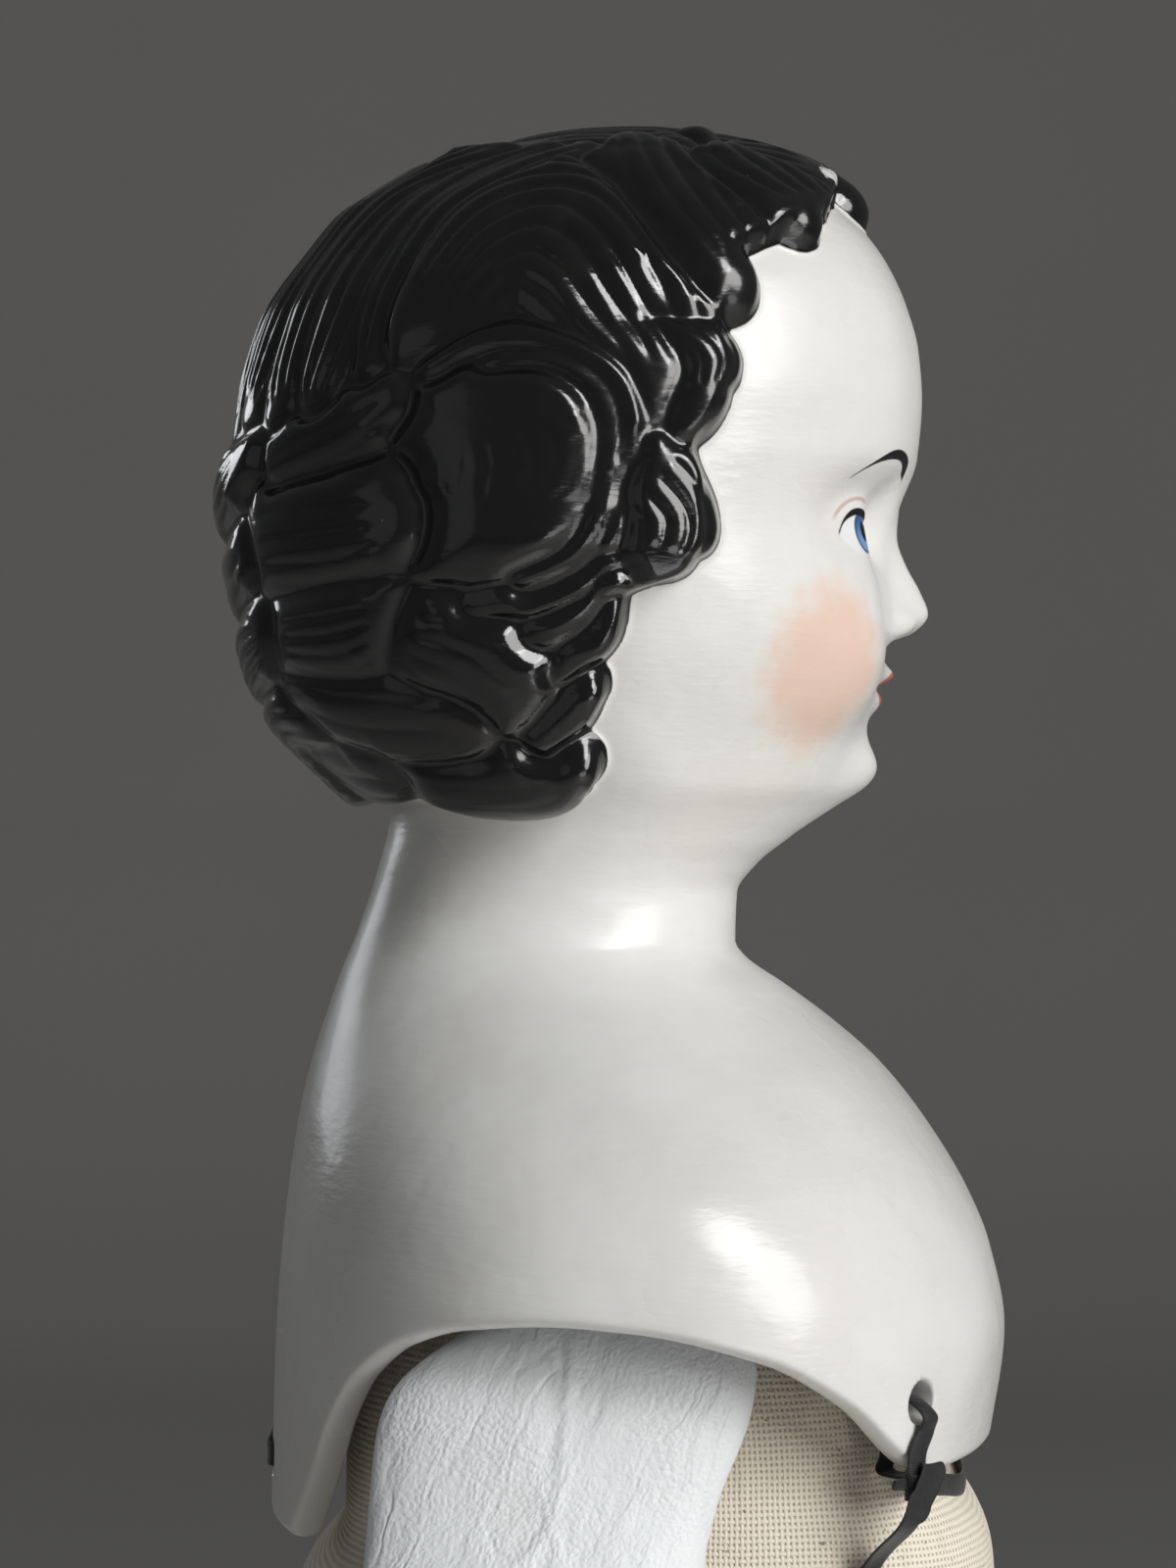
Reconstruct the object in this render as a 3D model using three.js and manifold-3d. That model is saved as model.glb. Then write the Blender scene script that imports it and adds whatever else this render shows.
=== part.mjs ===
// A china doll: a hollow glazed shoulder head, tied with ribbon onto a stuffed muslin trunk, with stuffed
// leather arms and stuffed muslin legs that hinge on their sewn seams.
// Millimetres, +Z up. The doll faces -Y, its left is +X, and its soles stand on Z = 0.
import * as THREE from "three";
import { mergeVertices } from "three/addons/utils/BufferGeometryUtils.js";
import Module from "manifold-3d";

const wasm = await Module();
wasm.setup();

// Lengths that stack up to the doll's height.
const SHIN_LENGTH = 128; // sole to knee seam
const THIGH_LENGTH = 140; // knee seam to hip seam
const TRUNK_LENGTH = 153; // hip seam to the lowest edge of the shoulder plate

// The shoulder head. Heights are above the plate's lowest edge, depths are from the doll's axis.
const SKULL_TOP = 137.2; // bare crown, under the hair
const SKULL_HALF_WIDTH = 31;
const SKULL_BACK = 34;
const FOREHEAD_DEPTH = 34;
const NOSE_LENGTH = 4.5; // how far the tip stands out of the face
const CHIN_DEPTH = 27.6;
const NECK_HALF_WIDTH = 18.8;
const NECK_FRONT = 15;
const NECK_BACK = 22;
const PLATE_HALF_WIDTH = 52;
const PLATE_FRONT = 42;
const PLATE_BACK = 32;
const PLATE_TOP = 57; // where the neck turns into the plate
const FRONT_EDGE = 8; // lower edge of the plate in front
const ARCH_HEIGHT = 23.6; // top of the arm arches
const CHINA_WALL = 3.5;
const SEW_HOLE_RADIUS = 1.9;
const SEW_HOLE_RISE = 6; // hole centre above the plate's edge
const FRONT_HOLE_ANGLE = 0.81; // radians off the middle line
const BACK_HOLE_ANGLE = 0.17;

// Moulded hair.
const LOCK_HEIGHT = 3.7;
const VALLEY_HEIGHT = 1.5; // hair in the grooves between locks

// Soft casings and their filling.
const MUSLIN = 0.8;
const LEATHER = 1;
const FILLING_GAP = 0.3;
const SEAM_GAP = 0.4; // between two pieces that are sewn edge to edge
const HINGE_GAP = 0.9; // between two pieces that fold on a row of stitches
const SEAM_HALF = 0.4; // half thickness of a piece stitched flat
const SLIT_LENGTH = 36; // seam left open for stuffing
const PLATE_CLEARANCE = 1.7; // room for a ribbon between trunk and plate

// Trunk.
const TRUNK_RISE = 28; // trunk top above the plate's lowest edge
const SHOULDER_HALF_WIDTH = 36.5;
const WAIST_HALF_WIDTH = 35.5;
const HIP_HALF_WIDTH = 47.5;
const BELLY_DEPTH = 29;
const CHEST_DEPTH = 41;
const BACK_DEPTH = 30.5;

// Arms: lengths below the shoulder pivot, in the arm's own frame.
const SHOULDER_PIVOT_RISE = 9.5; // above the plate's lowest edge
const SHOULDER_SETBACK = 3; // behind the doll's axis
const SEAT_GAP = 0; // arm from the widest line of the trunk
const ARM_TOP = 20; // arm above its pivot
const UPPER_ARM_LENGTH = 88;
const FOREARM_LENGTH = 72; // elbow seam to wrist
const PALM_LENGTH = 27;
const ARM_HALF_DEPTH = 17.8;
const ARM_HALF_WIDTH = 11;
const WRIST_HALF_DEPTH = 7.4;
const FINGER_RADIUS = 2.4;
const ARM_SPLAY = THREE.MathUtils.degToRad(8);
const ARM_TILT = THREE.MathUtils.degToRad(6);

// Legs.
const THIGH_HALF_WIDTH = 21.3;
const THIGH_HALF_DEPTH = 21.5;
const KNEE_HALF_WIDTH = 15;
const CALF_DEPTH = 16;
const ANKLE_HALF_WIDTH = 11;
const FOOT_LENGTH = 43; // axis of the leg to the toe
const FOOT_HALF_WIDTH = 14;
const LEG_GAP = 1.2; // each thigh from the doll's axis

// Ribbon.
const RIBBON_WIDTH = 2.4;
const RIBBON_THICKNESS = 0.5;
const RIBBON_CLEARANCE = 0.45;
const TAIL_LENGTH = 22;
const KNOT_DROP = 3.4; // knot below the plate's edge

const HEAD_STEPS = 60;
const LIMB_STEPS = 12;
const PANEL_STEPS = 12; // across a trunk panel
const TRUNK_ROWS = 18;

const KNEE_Z = SHIN_LENGTH;
const HIP_Z = KNEE_Z + THIGH_LENGTH;
const BUST_Z = HIP_Z + TRUNK_LENGTH;

const CHINA = new THREE.MeshStandardMaterial({ color: 0xeeece6, roughness: 0.15, metalness: 0 });
const MUSLIN_CLOTH = new THREE.MeshStandardMaterial({ color: 0xd9c8a6, roughness: 0.9, metalness: 0 });
const WHITE_LEATHER = new THREE.MeshStandardMaterial({ color: 0xe4e6e8, roughness: 0.5, metalness: 0 });
const COTTON_FILLING = new THREE.MeshStandardMaterial({ color: 0xece6d8, roughness: 1, metalness: 0 });
const BLACK_RIBBON = new THREE.MeshStandardMaterial({ color: 0x15151a, roughness: 0.7, metalness: 0 });

// Curve through [position, value] points in rising order that never overshoots between them.
function smoothCurve(points) {
  const slope = (i) => (points[i + 1][1] - points[i][1]) / (points[i + 1][0] - points[i][0]);
  const last = points.length - 1;
  const tangents = points.map((_, i) => {
    if (i === 0) return slope(0);
    if (i === last) return slope(last - 1);
    const before = slope(i - 1);
    const after = slope(i);
    return before * after <= 0 ? 0 : (2 * before * after) / (before + after);
  });
  return (position) => {
    if (position <= points[0][0]) return points[0][1];
    if (position >= points[last][0]) return points[last][1];
    const i = points.findIndex((point) => point[0] > position) - 1;
    const span = points[i + 1][0] - points[i][0];
    const t = (position - points[i][0]) / span;
    const rise = 3 * t ** 2 - 2 * t ** 3;
    const lead = t * (1 - t) ** 2 * span * tangents[i];
    const trail = t ** 2 * (t - 1) * span * tangents[i + 1];
    return points[i][1] + (points[i + 1][1] - points[i][1]) * rise + lead + trail;
  };
}

const smoothStep = (low, high, value) => THREE.MathUtils.smoothstep(value, low, high);
const hump = (distance, reach) => Math.exp(-((distance / reach) ** 2));

// Point of a rounded section at an angle from straight ahead: x to the left, forward along -Y.
function sectionPoint({ middle = 0, halfWidth, front, back, power = 2.1 }, angle, z) {
  const rounded = (t) => Math.sign(t) * Math.abs(t) ** (2 / power);
  const forward = (front - back) / 2 + ((front + back) / 2) * rounded(Math.cos(angle));
  return new THREE.Vector3(middle + halfWidth * rounded(Math.sin(angle)), -forward, z);
}

function inset(section, amount) {
  return {
    ...section,
    halfWidth: section.halfWidth - amount,
    front: section.front - amount,
    back: section.back - amount,
  };
}

const evenAngles = (steps) => Array.from({ length: steps }, (_, i) => (2 * Math.PI * i) / steps);

// Closed geometry from shared vertices and triangles, turned to face out.
function closedGeometry(vertices, triangles) {
  let sixVolumes = 0;
  const cross = new THREE.Vector3();
  for (const [a, b, c] of triangles) {
    sixVolumes += vertices[a].dot(cross.crossVectors(vertices[b], vertices[c]));
  }
  const facing = sixVolumes < 0 ? triangles.map(([a, b, c]) => [a, c, b]) : triangles;
  const geometry = new THREE.BufferGeometry().setFromPoints(vertices);
  return geometry.setIndex(facing.flat());
}

// Skin over a stack of rings. A ring of one point is a pole; any other end ring gets a cap.
function loft(rings) {
  const centre = (ring) => ring.reduce((sum, p) => sum.add(p), new THREE.Vector3()).divideScalar(ring.length);
  const stack = [...rings];
  if (stack[0].length > 1) stack.unshift([centre(stack[0])]);
  if (stack.at(-1).length > 1) stack.push([centre(stack.at(-1))]);
  const vertices = stack.flat();
  const triangles = [];
  let start = 0;
  for (let r = 0; r + 1 < stack.length; r++) {
    const next = start + stack[r].length;
    const lower = (i) => start + (i % stack[r].length);
    const upper = (i) => next + (i % stack[r + 1].length);
    const steps = Math.max(stack[r].length, stack[r + 1].length);
    for (let i = 0; i < steps; i++) {
      if (stack[r].length > 1) triangles.push([lower(i), lower(i + 1), upper(i)]);
      if (stack[r + 1].length > 1) triangles.push([lower(i + 1), upper(i + 1), upper(i)]);
    }
    start = next;
  }
  return closedGeometry(vertices, triangles);
}

// Thick sheet between two grids of points, given as functions of row and column.
function thickSheet(rows, columns, outer, inner) {
  const vertices = [];
  const layerSize = rows * columns;
  for (const surface of [outer, inner]) {
    for (let r = 0; r < rows; r++) for (let c = 0; c < columns; c++) vertices.push(surface(r, c));
  }
  const at = (layer, r, c) => layer * layerSize + r * columns + c;
  const triangles = [];
  const quad = (a, b, c, d) => triangles.push([a, b, c], [a, c, d]);
  for (let r = 0; r + 1 < rows; r++) {
    for (let c = 0; c + 1 < columns; c++) {
      quad(at(0, r, c), at(0, r, c + 1), at(0, r + 1, c + 1), at(0, r + 1, c));
      quad(at(1, r, c), at(1, r + 1, c), at(1, r + 1, c + 1), at(1, r, c + 1));
    }
    quad(at(0, r, 0), at(0, r + 1, 0), at(1, r + 1, 0), at(1, r, 0));
    quad(at(0, r, columns - 1), at(1, r, columns - 1), at(1, r + 1, columns - 1), at(0, r + 1, columns - 1));
  }
  for (let c = 0; c + 1 < columns; c++) {
    quad(at(0, 0, c), at(1, 0, c), at(1, 0, c + 1), at(0, 0, c + 1));
    quad(at(0, rows - 1, c), at(0, rows - 1, c + 1), at(1, rows - 1, c + 1), at(1, rows - 1, c));
  }
  return closedGeometry(vertices, triangles);
}

// Closed geometry as a solid for joining and cutting, and back again.
function solidOf(geometry) {
  const bare = geometry.clone();
  bare.deleteAttribute("normal");
  bare.deleteAttribute("uv");
  const merged = mergeVertices(bare, 1e-4);
  return new wasm.Manifold(
    new wasm.Mesh({
      numProp: 3,
      vertProperties: merged.attributes.position.array,
      triVerts: new Uint32Array(merged.index.array),
    }),
  );
}

function geometryOf(solid) {
  const mesh = solid.getMesh();
  const geometry = new THREE.BufferGeometry();
  geometry.setAttribute("position", new THREE.BufferAttribute(mesh.vertProperties, 3));
  return geometry.setIndex(new THREE.BufferAttribute(mesh.triVerts, 1));
}

const joined = (geometries) => geometryOf(geometries.map(solidOf).reduce((sum, solid) => sum.add(solid)));

function namedMesh(name, geometry, material) {
  const mesh = new THREE.Mesh(geometry, material);
  mesh.name = name;
  return mesh;
}

// Bare form of the shoulder head: front, back and half width at each height above the plate's edge.
// The front is the face as a mask, before the nose, lips and chin are raised on it.
const faceMask = smoothCurve([
  [FRONT_EDGE, PLATE_FRONT - 1.5],
  [19, PLATE_FRONT],
  [27, PLATE_FRONT - 1.5],
  [32, PLATE_FRONT - 3.5],
  [38, PLATE_FRONT - 7],
  [44.5, PLATE_FRONT - 12],
  [49, PLATE_FRONT - 17],
  [52.7, PLATE_FRONT - 22],
  [55.5, NECK_FRONT + 1],
  [PLATE_TOP, NECK_FRONT],
  [62, NECK_FRONT + 0.2],
  [65, NECK_FRONT + 2.3],
  [67.5, CHIN_DEPTH - 7.2],
  [70.5, CHIN_DEPTH - 3.4],
  [73, CHIN_DEPTH - 1.2],
  [78, CHIN_DEPTH + 0.2],
  [84, FOREHEAD_DEPTH - 4.6],
  [90, FOREHEAD_DEPTH - 3.9],
  [97, FOREHEAD_DEPTH - 3.4],
  [101.5, FOREHEAD_DEPTH - 2],
  [106, FOREHEAD_DEPTH - 0.5],
  [112, FOREHEAD_DEPTH],
  [117, FOREHEAD_DEPTH - 0.4],
  [121, FOREHEAD_DEPTH - 1.5],
  [125.5, FOREHEAD_DEPTH - 3.5],
  [SKULL_TOP - 7.7, FOREHEAD_DEPTH - 6.5],
  [SKULL_TOP - 4.2, FOREHEAD_DEPTH - 10.8],
  [SKULL_TOP - 2, FOREHEAD_DEPTH - 16.5],
  [SKULL_TOP - 0.7, FOREHEAD_DEPTH - 24],
  [SKULL_TOP, 2],
]);
const headBack = smoothCurve([
  [0, PLATE_BACK],
  [13, PLATE_BACK - 0.3],
  [23, PLATE_BACK - 0.8],
  [40, PLATE_BACK - 2.8],
  [53, PLATE_BACK - 6.5],
  [58, NECK_BACK + 1.5],
  [64, NECK_BACK - 0.5],
  [71, NECK_BACK - 2],
  [75, NECK_BACK + 2],
  [82, SKULL_BACK - 3.5],
  [92, SKULL_BACK - 1],
  [102, SKULL_BACK],
  [110, SKULL_BACK - 1],
  [118, SKULL_BACK - 3],
  [125, SKULL_BACK - 7.7],
  [SKULL_TOP - 8.5, SKULL_BACK - 10.8],
  [SKULL_TOP - 5.9, SKULL_BACK - 14.5],
  [SKULL_TOP - 3, SKULL_BACK - 19.5],
  [SKULL_TOP - 1.1, SKULL_BACK - 26],
  [SKULL_TOP, 2],
]);
const headHalfWidth = smoothCurve([
  [0, PLATE_HALF_WIDTH - 1],
  [ARCH_HEIGHT, PLATE_HALF_WIDTH],
  [29, PLATE_HALF_WIDTH - 1],
  [34, PLATE_HALF_WIDTH - 3],
  [39, PLATE_HALF_WIDTH - 7],
  [44, PLATE_HALF_WIDTH - 13],
  [49, PLATE_HALF_WIDTH - 21],
  [53, NECK_HALF_WIDTH + 5.5],
  [PLATE_TOP, NECK_HALF_WIDTH + 1],
  [61, NECK_HALF_WIDTH],
  [68, NECK_HALF_WIDTH + 2],
  [74, NECK_HALF_WIDTH + 5.5],
  [80, SKULL_HALF_WIDTH - 4],
  [88, SKULL_HALF_WIDTH - 1.5],
  [98, SKULL_HALF_WIDTH],
  [110, SKULL_HALF_WIDTH],
  [119, SKULL_HALF_WIDTH - 2],
  [126, SKULL_HALF_WIDTH - 5.5],
  [SKULL_TOP - 6.2, SKULL_HALF_WIDTH - 10.5],
  [SKULL_TOP - 2.7, SKULL_HALF_WIDTH - 17],
  [SKULL_TOP - 0.8, SKULL_HALF_WIDTH - 23.5],
  [SKULL_TOP, 2],
]);
// How square the front of the section is: the jaw narrows to the chin, and the brow is round.
const facePower = smoothCurve([
  [60, 2.2],
  [66, 2],
  [71, 1.75],
  [76, 1.75],
  [82, 1.95],
  [90, 2.05],
  [98, 1.95],
  [106, 1.92],
  [114, 2.02],
  [122, 2.2],
]);
const headSection = (height, angle) => ({
  halfWidth: headHalfWidth(height),
  front: faceMask(height),
  back: headBack(height),
  power: THREE.MathUtils.lerp(2.2, facePower(height), smoothStep(-0.2, 0.5, Math.cos(angle))),
});

// Nose: how far it stands out, and its half width, at each height.
const noseRise = smoothCurve([
  [86.6, 0],
  [87.4, 0.16 * NOSE_LENGTH],
  [88.4, 0.7 * NOSE_LENGTH],
  [90.2, NOSE_LENGTH],
  [92.5, 0.8 * NOSE_LENGTH],
  [95, 0.48 * NOSE_LENGTH],
  [97.5, 0.22 * NOSE_LENGTH],
  [101, 0],
]);
const noseHalfWidth = smoothCurve([
  [87, 4.4],
  [90, 4],
  [95, 2.7],
  [100, 2.4],
]);

// Features raised on the mask: [across, height, reach across, reach up, rise], each on both sides.
const FACE_FEATURES = [
  [4, 89, 1.7, 1.6, 1.1], // nostril wing
  [0, 84, 5.2, 1.2, 1.6], // upper lip
  [0, 81.3, 4.6, 1.2, 1], // lower lip
  [0, 82.8, 6, 0.6, -0.7], // parting of the lips
  [0, 74.2, 6, 3.2, 2.5], // chin
  [16, 84.5, 8.5, 9, 3.1], // cheek
  [13.5, 100.2, 7.5, 4.5, -2.8], // eye socket
  [13.3, 98.6, 4.4, 2.8, 1.3], // eyeball
  [13, 105, 8, 2.4, 0.5], // brow
];

function featureRise(across, height) {
  const nose = noseRise(height) * hump(across, noseHalfWidth(height));
  return FACE_FEATURES.reduce((sum, [x, z, reachX, reachZ, rise]) => {
    const share = hump(Math.abs(across) - x, reachX) * hump(height - z, reachZ);
    return sum + rise * share;
  }, nose);
}

// The hair is measured on directions from the middle of the skull, on an egg that fits it.
const HAIR_CENTRE = new THREE.Vector3(0, 1, 102);
const HAIR_EGG = new THREE.Vector3(33, 36, 35.5);
const EGG_RADIUS = 35;

// Directions of points seen from the side [forward, height], from behind [across, height] or from the
// top [across, forward], on the left half of the head.
const fromSide = ([forward, height]) => eggDirection(null, -forward, height);
const fromBehind = ([across, height]) => eggDirection(across, null, height);
const fromTop = ([across, forward]) => eggDirection(across, -forward, null);
const HIDDEN_SIDE = { x: 1, y: 1, z: 1 }; // left, back and up are the positive sides

function eggDirection(x, y, z) {
  const given = { x, y, z };
  const direction = new THREE.Vector3();
  let rest = 1;
  for (const axis of ["x", "y", "z"]) {
    if (given[axis] === null) continue;
    direction[axis] = (given[axis] - HAIR_CENTRE[axis]) / HAIR_EGG[axis];
    rest -= direction[axis] ** 2;
  }
  const missing = Object.keys(given).find((axis) => given[axis] === null);
  direction[missing] = HIDDEN_SIDE[missing] * Math.sqrt(Math.max(rest, 0));
  return direction.normalize();
}

// Locks of hair, as strokes over the head: half width, share of the lock height, and the stroke's points.
// Each lock is a leaf, fullest at its middle.
const LOCKS = [
  [fromTop, 3.6, 0.75, [[3.5, -10], [4.5, 4], [4, 14], [3.6, 22]]],
  [fromTop, 3.6, 0.8, [[11, -6], [12, 5], [10.8, 13], [9.6, 19]]],
  [fromSide, 3.5, 0.95, [[9.5, 134.5], [12.5, 130.7], [15.8, 127.4], [17.6, 125.2]]],
  [fromSide, 4.4, 1, [[2.9, 134], [5.2, 130.2], [8, 125.2], [10.9, 120.6]]],
  [fromSide, 6.4, 1, [[-14.5, 118], [-9.6, 123.8], [-3.4, 125.4], [2, 122.4], [5, 116.5], [6.6, 111.5]]],
  [fromSide, 4.8, 1.05, [[5.4, 116.6], [8.6, 112.6], [9.6, 109.2]]],
  [fromSide, 9.4, 1.2, [[-8.4, 105.4], [-7.8, 103], [-7.8, 100.6]]],
  [fromSide, 1.7, 0.98, [
    [-6, 115.4], [-1.8, 113.6], [1.8, 109.8], [3.8, 104],
    [3, 97.6], [0, 93.2], [-5, 90.8],
  ]],
  [fromSide, 1.3, 1.02, [[-3.4, 112.8], [0.4, 109], [2, 103.8], [1.6, 98.4], [-1, 94.6], [-5.4, 92.4]]],
  [fromSide, 4.9, 1.05, [[5.6, 101.6], [7.8, 99.2], [6.6, 96]]],
  [fromSide, 1.9, 1, [[-9.6, 89.6], [-2.5, 90.7], [2.2, 94.4]]],
  [fromSide, 1.8, 0.95, [[-5, 87], [0.1, 89.4], [2.4, 92.4]]],
  [fromSide, 1.7, 0.9, [[-3.4, 84.2], [0, 86.6], [1.9, 90]]],
  [fromSide, 4.2, 1.05, [[-15, 87.6], [-9.6, 86], [-6.6, 84]]],
  [fromSide, 2.3, 0.9, [[-4.2, 79.8], [-2.6, 81.2], [-1, 82.8]]],
  [fromSide, 3.1, 1.05, [[-16.4, 76.2], [-9.4, 75.9], [-3.4, 76.4], [-1.4, 77.4]]],
  [fromSide, 3.3, 0.8, [[-8, 134], [-18, 129.8], [-25, 123.5], [-29, 116], [-29.8, 110]]],
  [fromSide, 3, 0.75, [[-4, 134], [-13, 129.4], [-20, 122], [-23.5, 114], [-25, 109.6]]],
  [fromSide, 2.6, 0.7, [[-1, 134], [-8.5, 131.4], [-15.4, 126.4], [-19.4, 119], [-20, 112.6]]],
  [fromSide, 2.9, 0.95, [[-29.6, 103.6], [-23.9, 106], [-18, 109]]],
  [fromSide, 4.6, 1, [[-31, 97], [-24.9, 98], [-19.2, 99]]],
  [fromSide, 4.3, 0.95, [[-27.9, 88.2], [-23, 88.4], [-18.6, 88.8]]],
  [fromSide, 3, 0.85, [[-25.4, 82], [-18.8, 80.8], [-12.4, 80.6]]],
  [fromSide, 2.7, 0.8, [[-24.5, 77], [-20, 76.6], [-16.5, 76.2]]],
  [fromBehind, 4.2, 1.1, [[14, 104.6], [9, 102.6], [3, 100.6]]],
  [fromBehind, 2.8, 1, [[14.4, 96.2], [9, 94.4], [2.6, 92.8]]],
  [fromBehind, 4, 1, [[14, 88.4], [8.6, 87], [2.8, 85.4]]],
  [fromBehind, 3.2, 0.9, [[14.5, 80.4], [8.4, 79.4], [2, 79]]],
  [fromBehind, 4.4, 0.75, [[3.4, 131], [4.4, 122], [4.2, 110]]],
  [fromBehind, 4.2, 0.75, [[10, 130.5], [12.6, 120], [12.4, 111]]],
];
const strokes = LOCKS.map(([seen, halfWidth, share, points]) => ({
  halfWidth,
  rise: share * LOCK_HEIGHT,
  overCrown: seen === fromTop,
  path: new THREE.CatmullRomCurve3(points.map(seen)).getPoints(4 * (points.length - 1)),
}));

// Where the hair stops in front, and at the nape.
const hairFront = smoothCurve([
  [71.5, -9],
  [73, -5],
  [75, -2],
  [80, -1.6],
  [84, -1],
  [87, 0.8],
  [90, 2.2],
  [92, 5.5],
  [94, 9.5],
  [98, 11],
  [102, 11],
  [105, 10.4],
  [108, 12.2],
  [112, 13.2],
  [116, 13.2],
  [120, 13.4],
  [123, 14],
  [125, 17.5],
  [126.5, 20],
  [128.5, 23.5],
  [SKULL_TOP, 26],
]);

// Rise of the hair over the bare head at a point, heights above the plate's edge. The place belongs to the
// lock it is nearest to, for the lock's width, and locks are pillows that meet in grooves.
function hairRise(point) {
  const cover = smoothStep(0, 2.4, hairFront(point.z) + point.y) * smoothStep(71.5, 73.5, point.z);
  const direction = point.clone().sub(HAIR_CENTRE).divide(HAIR_EGG).normalize();
  direction.x = Math.abs(direction.x);
  const reached = strokes.map(({ halfWidth, rise, overCrown, path }) => {
    const gaps = path.map((step) => step.distanceTo(direction));
    const nearest = gaps.indexOf(Math.min(...gaps));
    const along = nearest / (path.length - 1);
    const leaf = halfWidth * (0.8 + 0.4 * Math.sin(Math.PI * (0.1 + 0.8 * along)));
    const lift = overCrown ? smoothStep(-0.1, 0.5, along) : 1;
    return { away: (EGG_RADIUS * gaps[nearest]) / leaf, height: lift * (rise - VALLEY_HEIGHT) };
  });
  const [lock, nextLock] = reached.sort((a, b) => a.away - b.away);
  const inFromGroove = THREE.MathUtils.clamp((nextLock.away - lock.away) / 1.3, 0, 1);
  const pillow = Math.sqrt(1 - (1 - inFromGroove) ** 2);
  const within = Math.max(cover, Math.sqrt(Math.max(0, 1 - lock.away ** 2)));
  return within * (VALLEY_HEIGHT + lock.height * pillow);
}

// Glazed outside of the shoulder head.
function headOutside(angle, height) {
  const point = sectionPoint(headSection(height, angle), angle, height);
  point.y -= featureRise(point.x, height) * smoothStep(0.1, 0.5, Math.cos(angle));
  if (height > PLATE_TOP) {
    const out = point.clone().sub(HAIR_CENTRE).normalize();
    point.addScaledVector(out, hairRise(point));
  }
  return point.setZ(point.z + BUST_Z);
}

// Bare inside of the casting, a wall's thickness in from the bare form.
function headInside(angle, height) {
  return sectionPoint(inset(headSection(height, angle), CHINA_WALL), angle, height + BUST_Z);
}

// Lower edge of the plate from back to front: straight behind and in front, arched over the arms between.
const plateArch = smoothCurve([
  [-0.9 * PLATE_BACK, 0],
  [-0.82 * PLATE_BACK, 0.32 * ARCH_HEIGHT],
  [-0.78 * PLATE_BACK, 0.5 * ARCH_HEIGHT],
  [-0.7 * PLATE_BACK, 0.72 * ARCH_HEIGHT],
  [-0.56 * PLATE_BACK, 0.89 * ARCH_HEIGHT],
  [-0.38 * PLATE_BACK, 0.97 * ARCH_HEIGHT],
  [-0.12 * PLATE_BACK, ARCH_HEIGHT],
  [0.09 * PLATE_FRONT, 0.98 * ARCH_HEIGHT],
  [0.38 * PLATE_FRONT, 0.855 * ARCH_HEIGHT],
  [0.575 * PLATE_FRONT, 0.66 * ARCH_HEIGHT],
  [0.75 * PLATE_FRONT, FRONT_EDGE + 1.2],
  [0.8 * PLATE_FRONT, FRONT_EDGE],
]);
function plateEdge(angle) {
  const plate = { halfWidth: PLATE_HALF_WIDTH, front: PLATE_FRONT, back: PLATE_BACK, power: 2.2 };
  return plateArch(-sectionPoint(plate, angle, 0).y);
}

// Angles round the head, twice as close over the face as at the back.
const headAngles = evenAngles(HEAD_STEPS).map((even) => even - 0.4 * Math.sin(even));

// Sew hole: its middle in the wall, the way out of it, and the cylinder that cuts it.
function sewHole(angle) {
  const height = plateEdge(angle) + SEW_HOLE_RISE;
  const outside = headOutside(angle, height);
  const inside = headInside(angle, height);
  const drill = new THREE.CylinderGeometry(SEW_HOLE_RADIUS, SEW_HOLE_RADIUS, 6 * CHINA_WALL, 14);
  const outward = outside.clone().sub(inside).normalize();
  drill.applyQuaternion(new THREE.Quaternion().setFromUnitVectors(new THREE.Vector3(0, 1, 0), outward));
  const middle = outside.clone().add(inside).multiplyScalar(0.5);
  return { middle, outward, drill: drill.translate(...middle) };
}

const HOLE_ANGLES = [
  -FRONT_HOLE_ANGLE,
  FRONT_HOLE_ANGLE,
  Math.PI - BACK_HOLE_ANGLE,
  Math.PI + BACK_HOLE_ANGLE,
];

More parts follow.
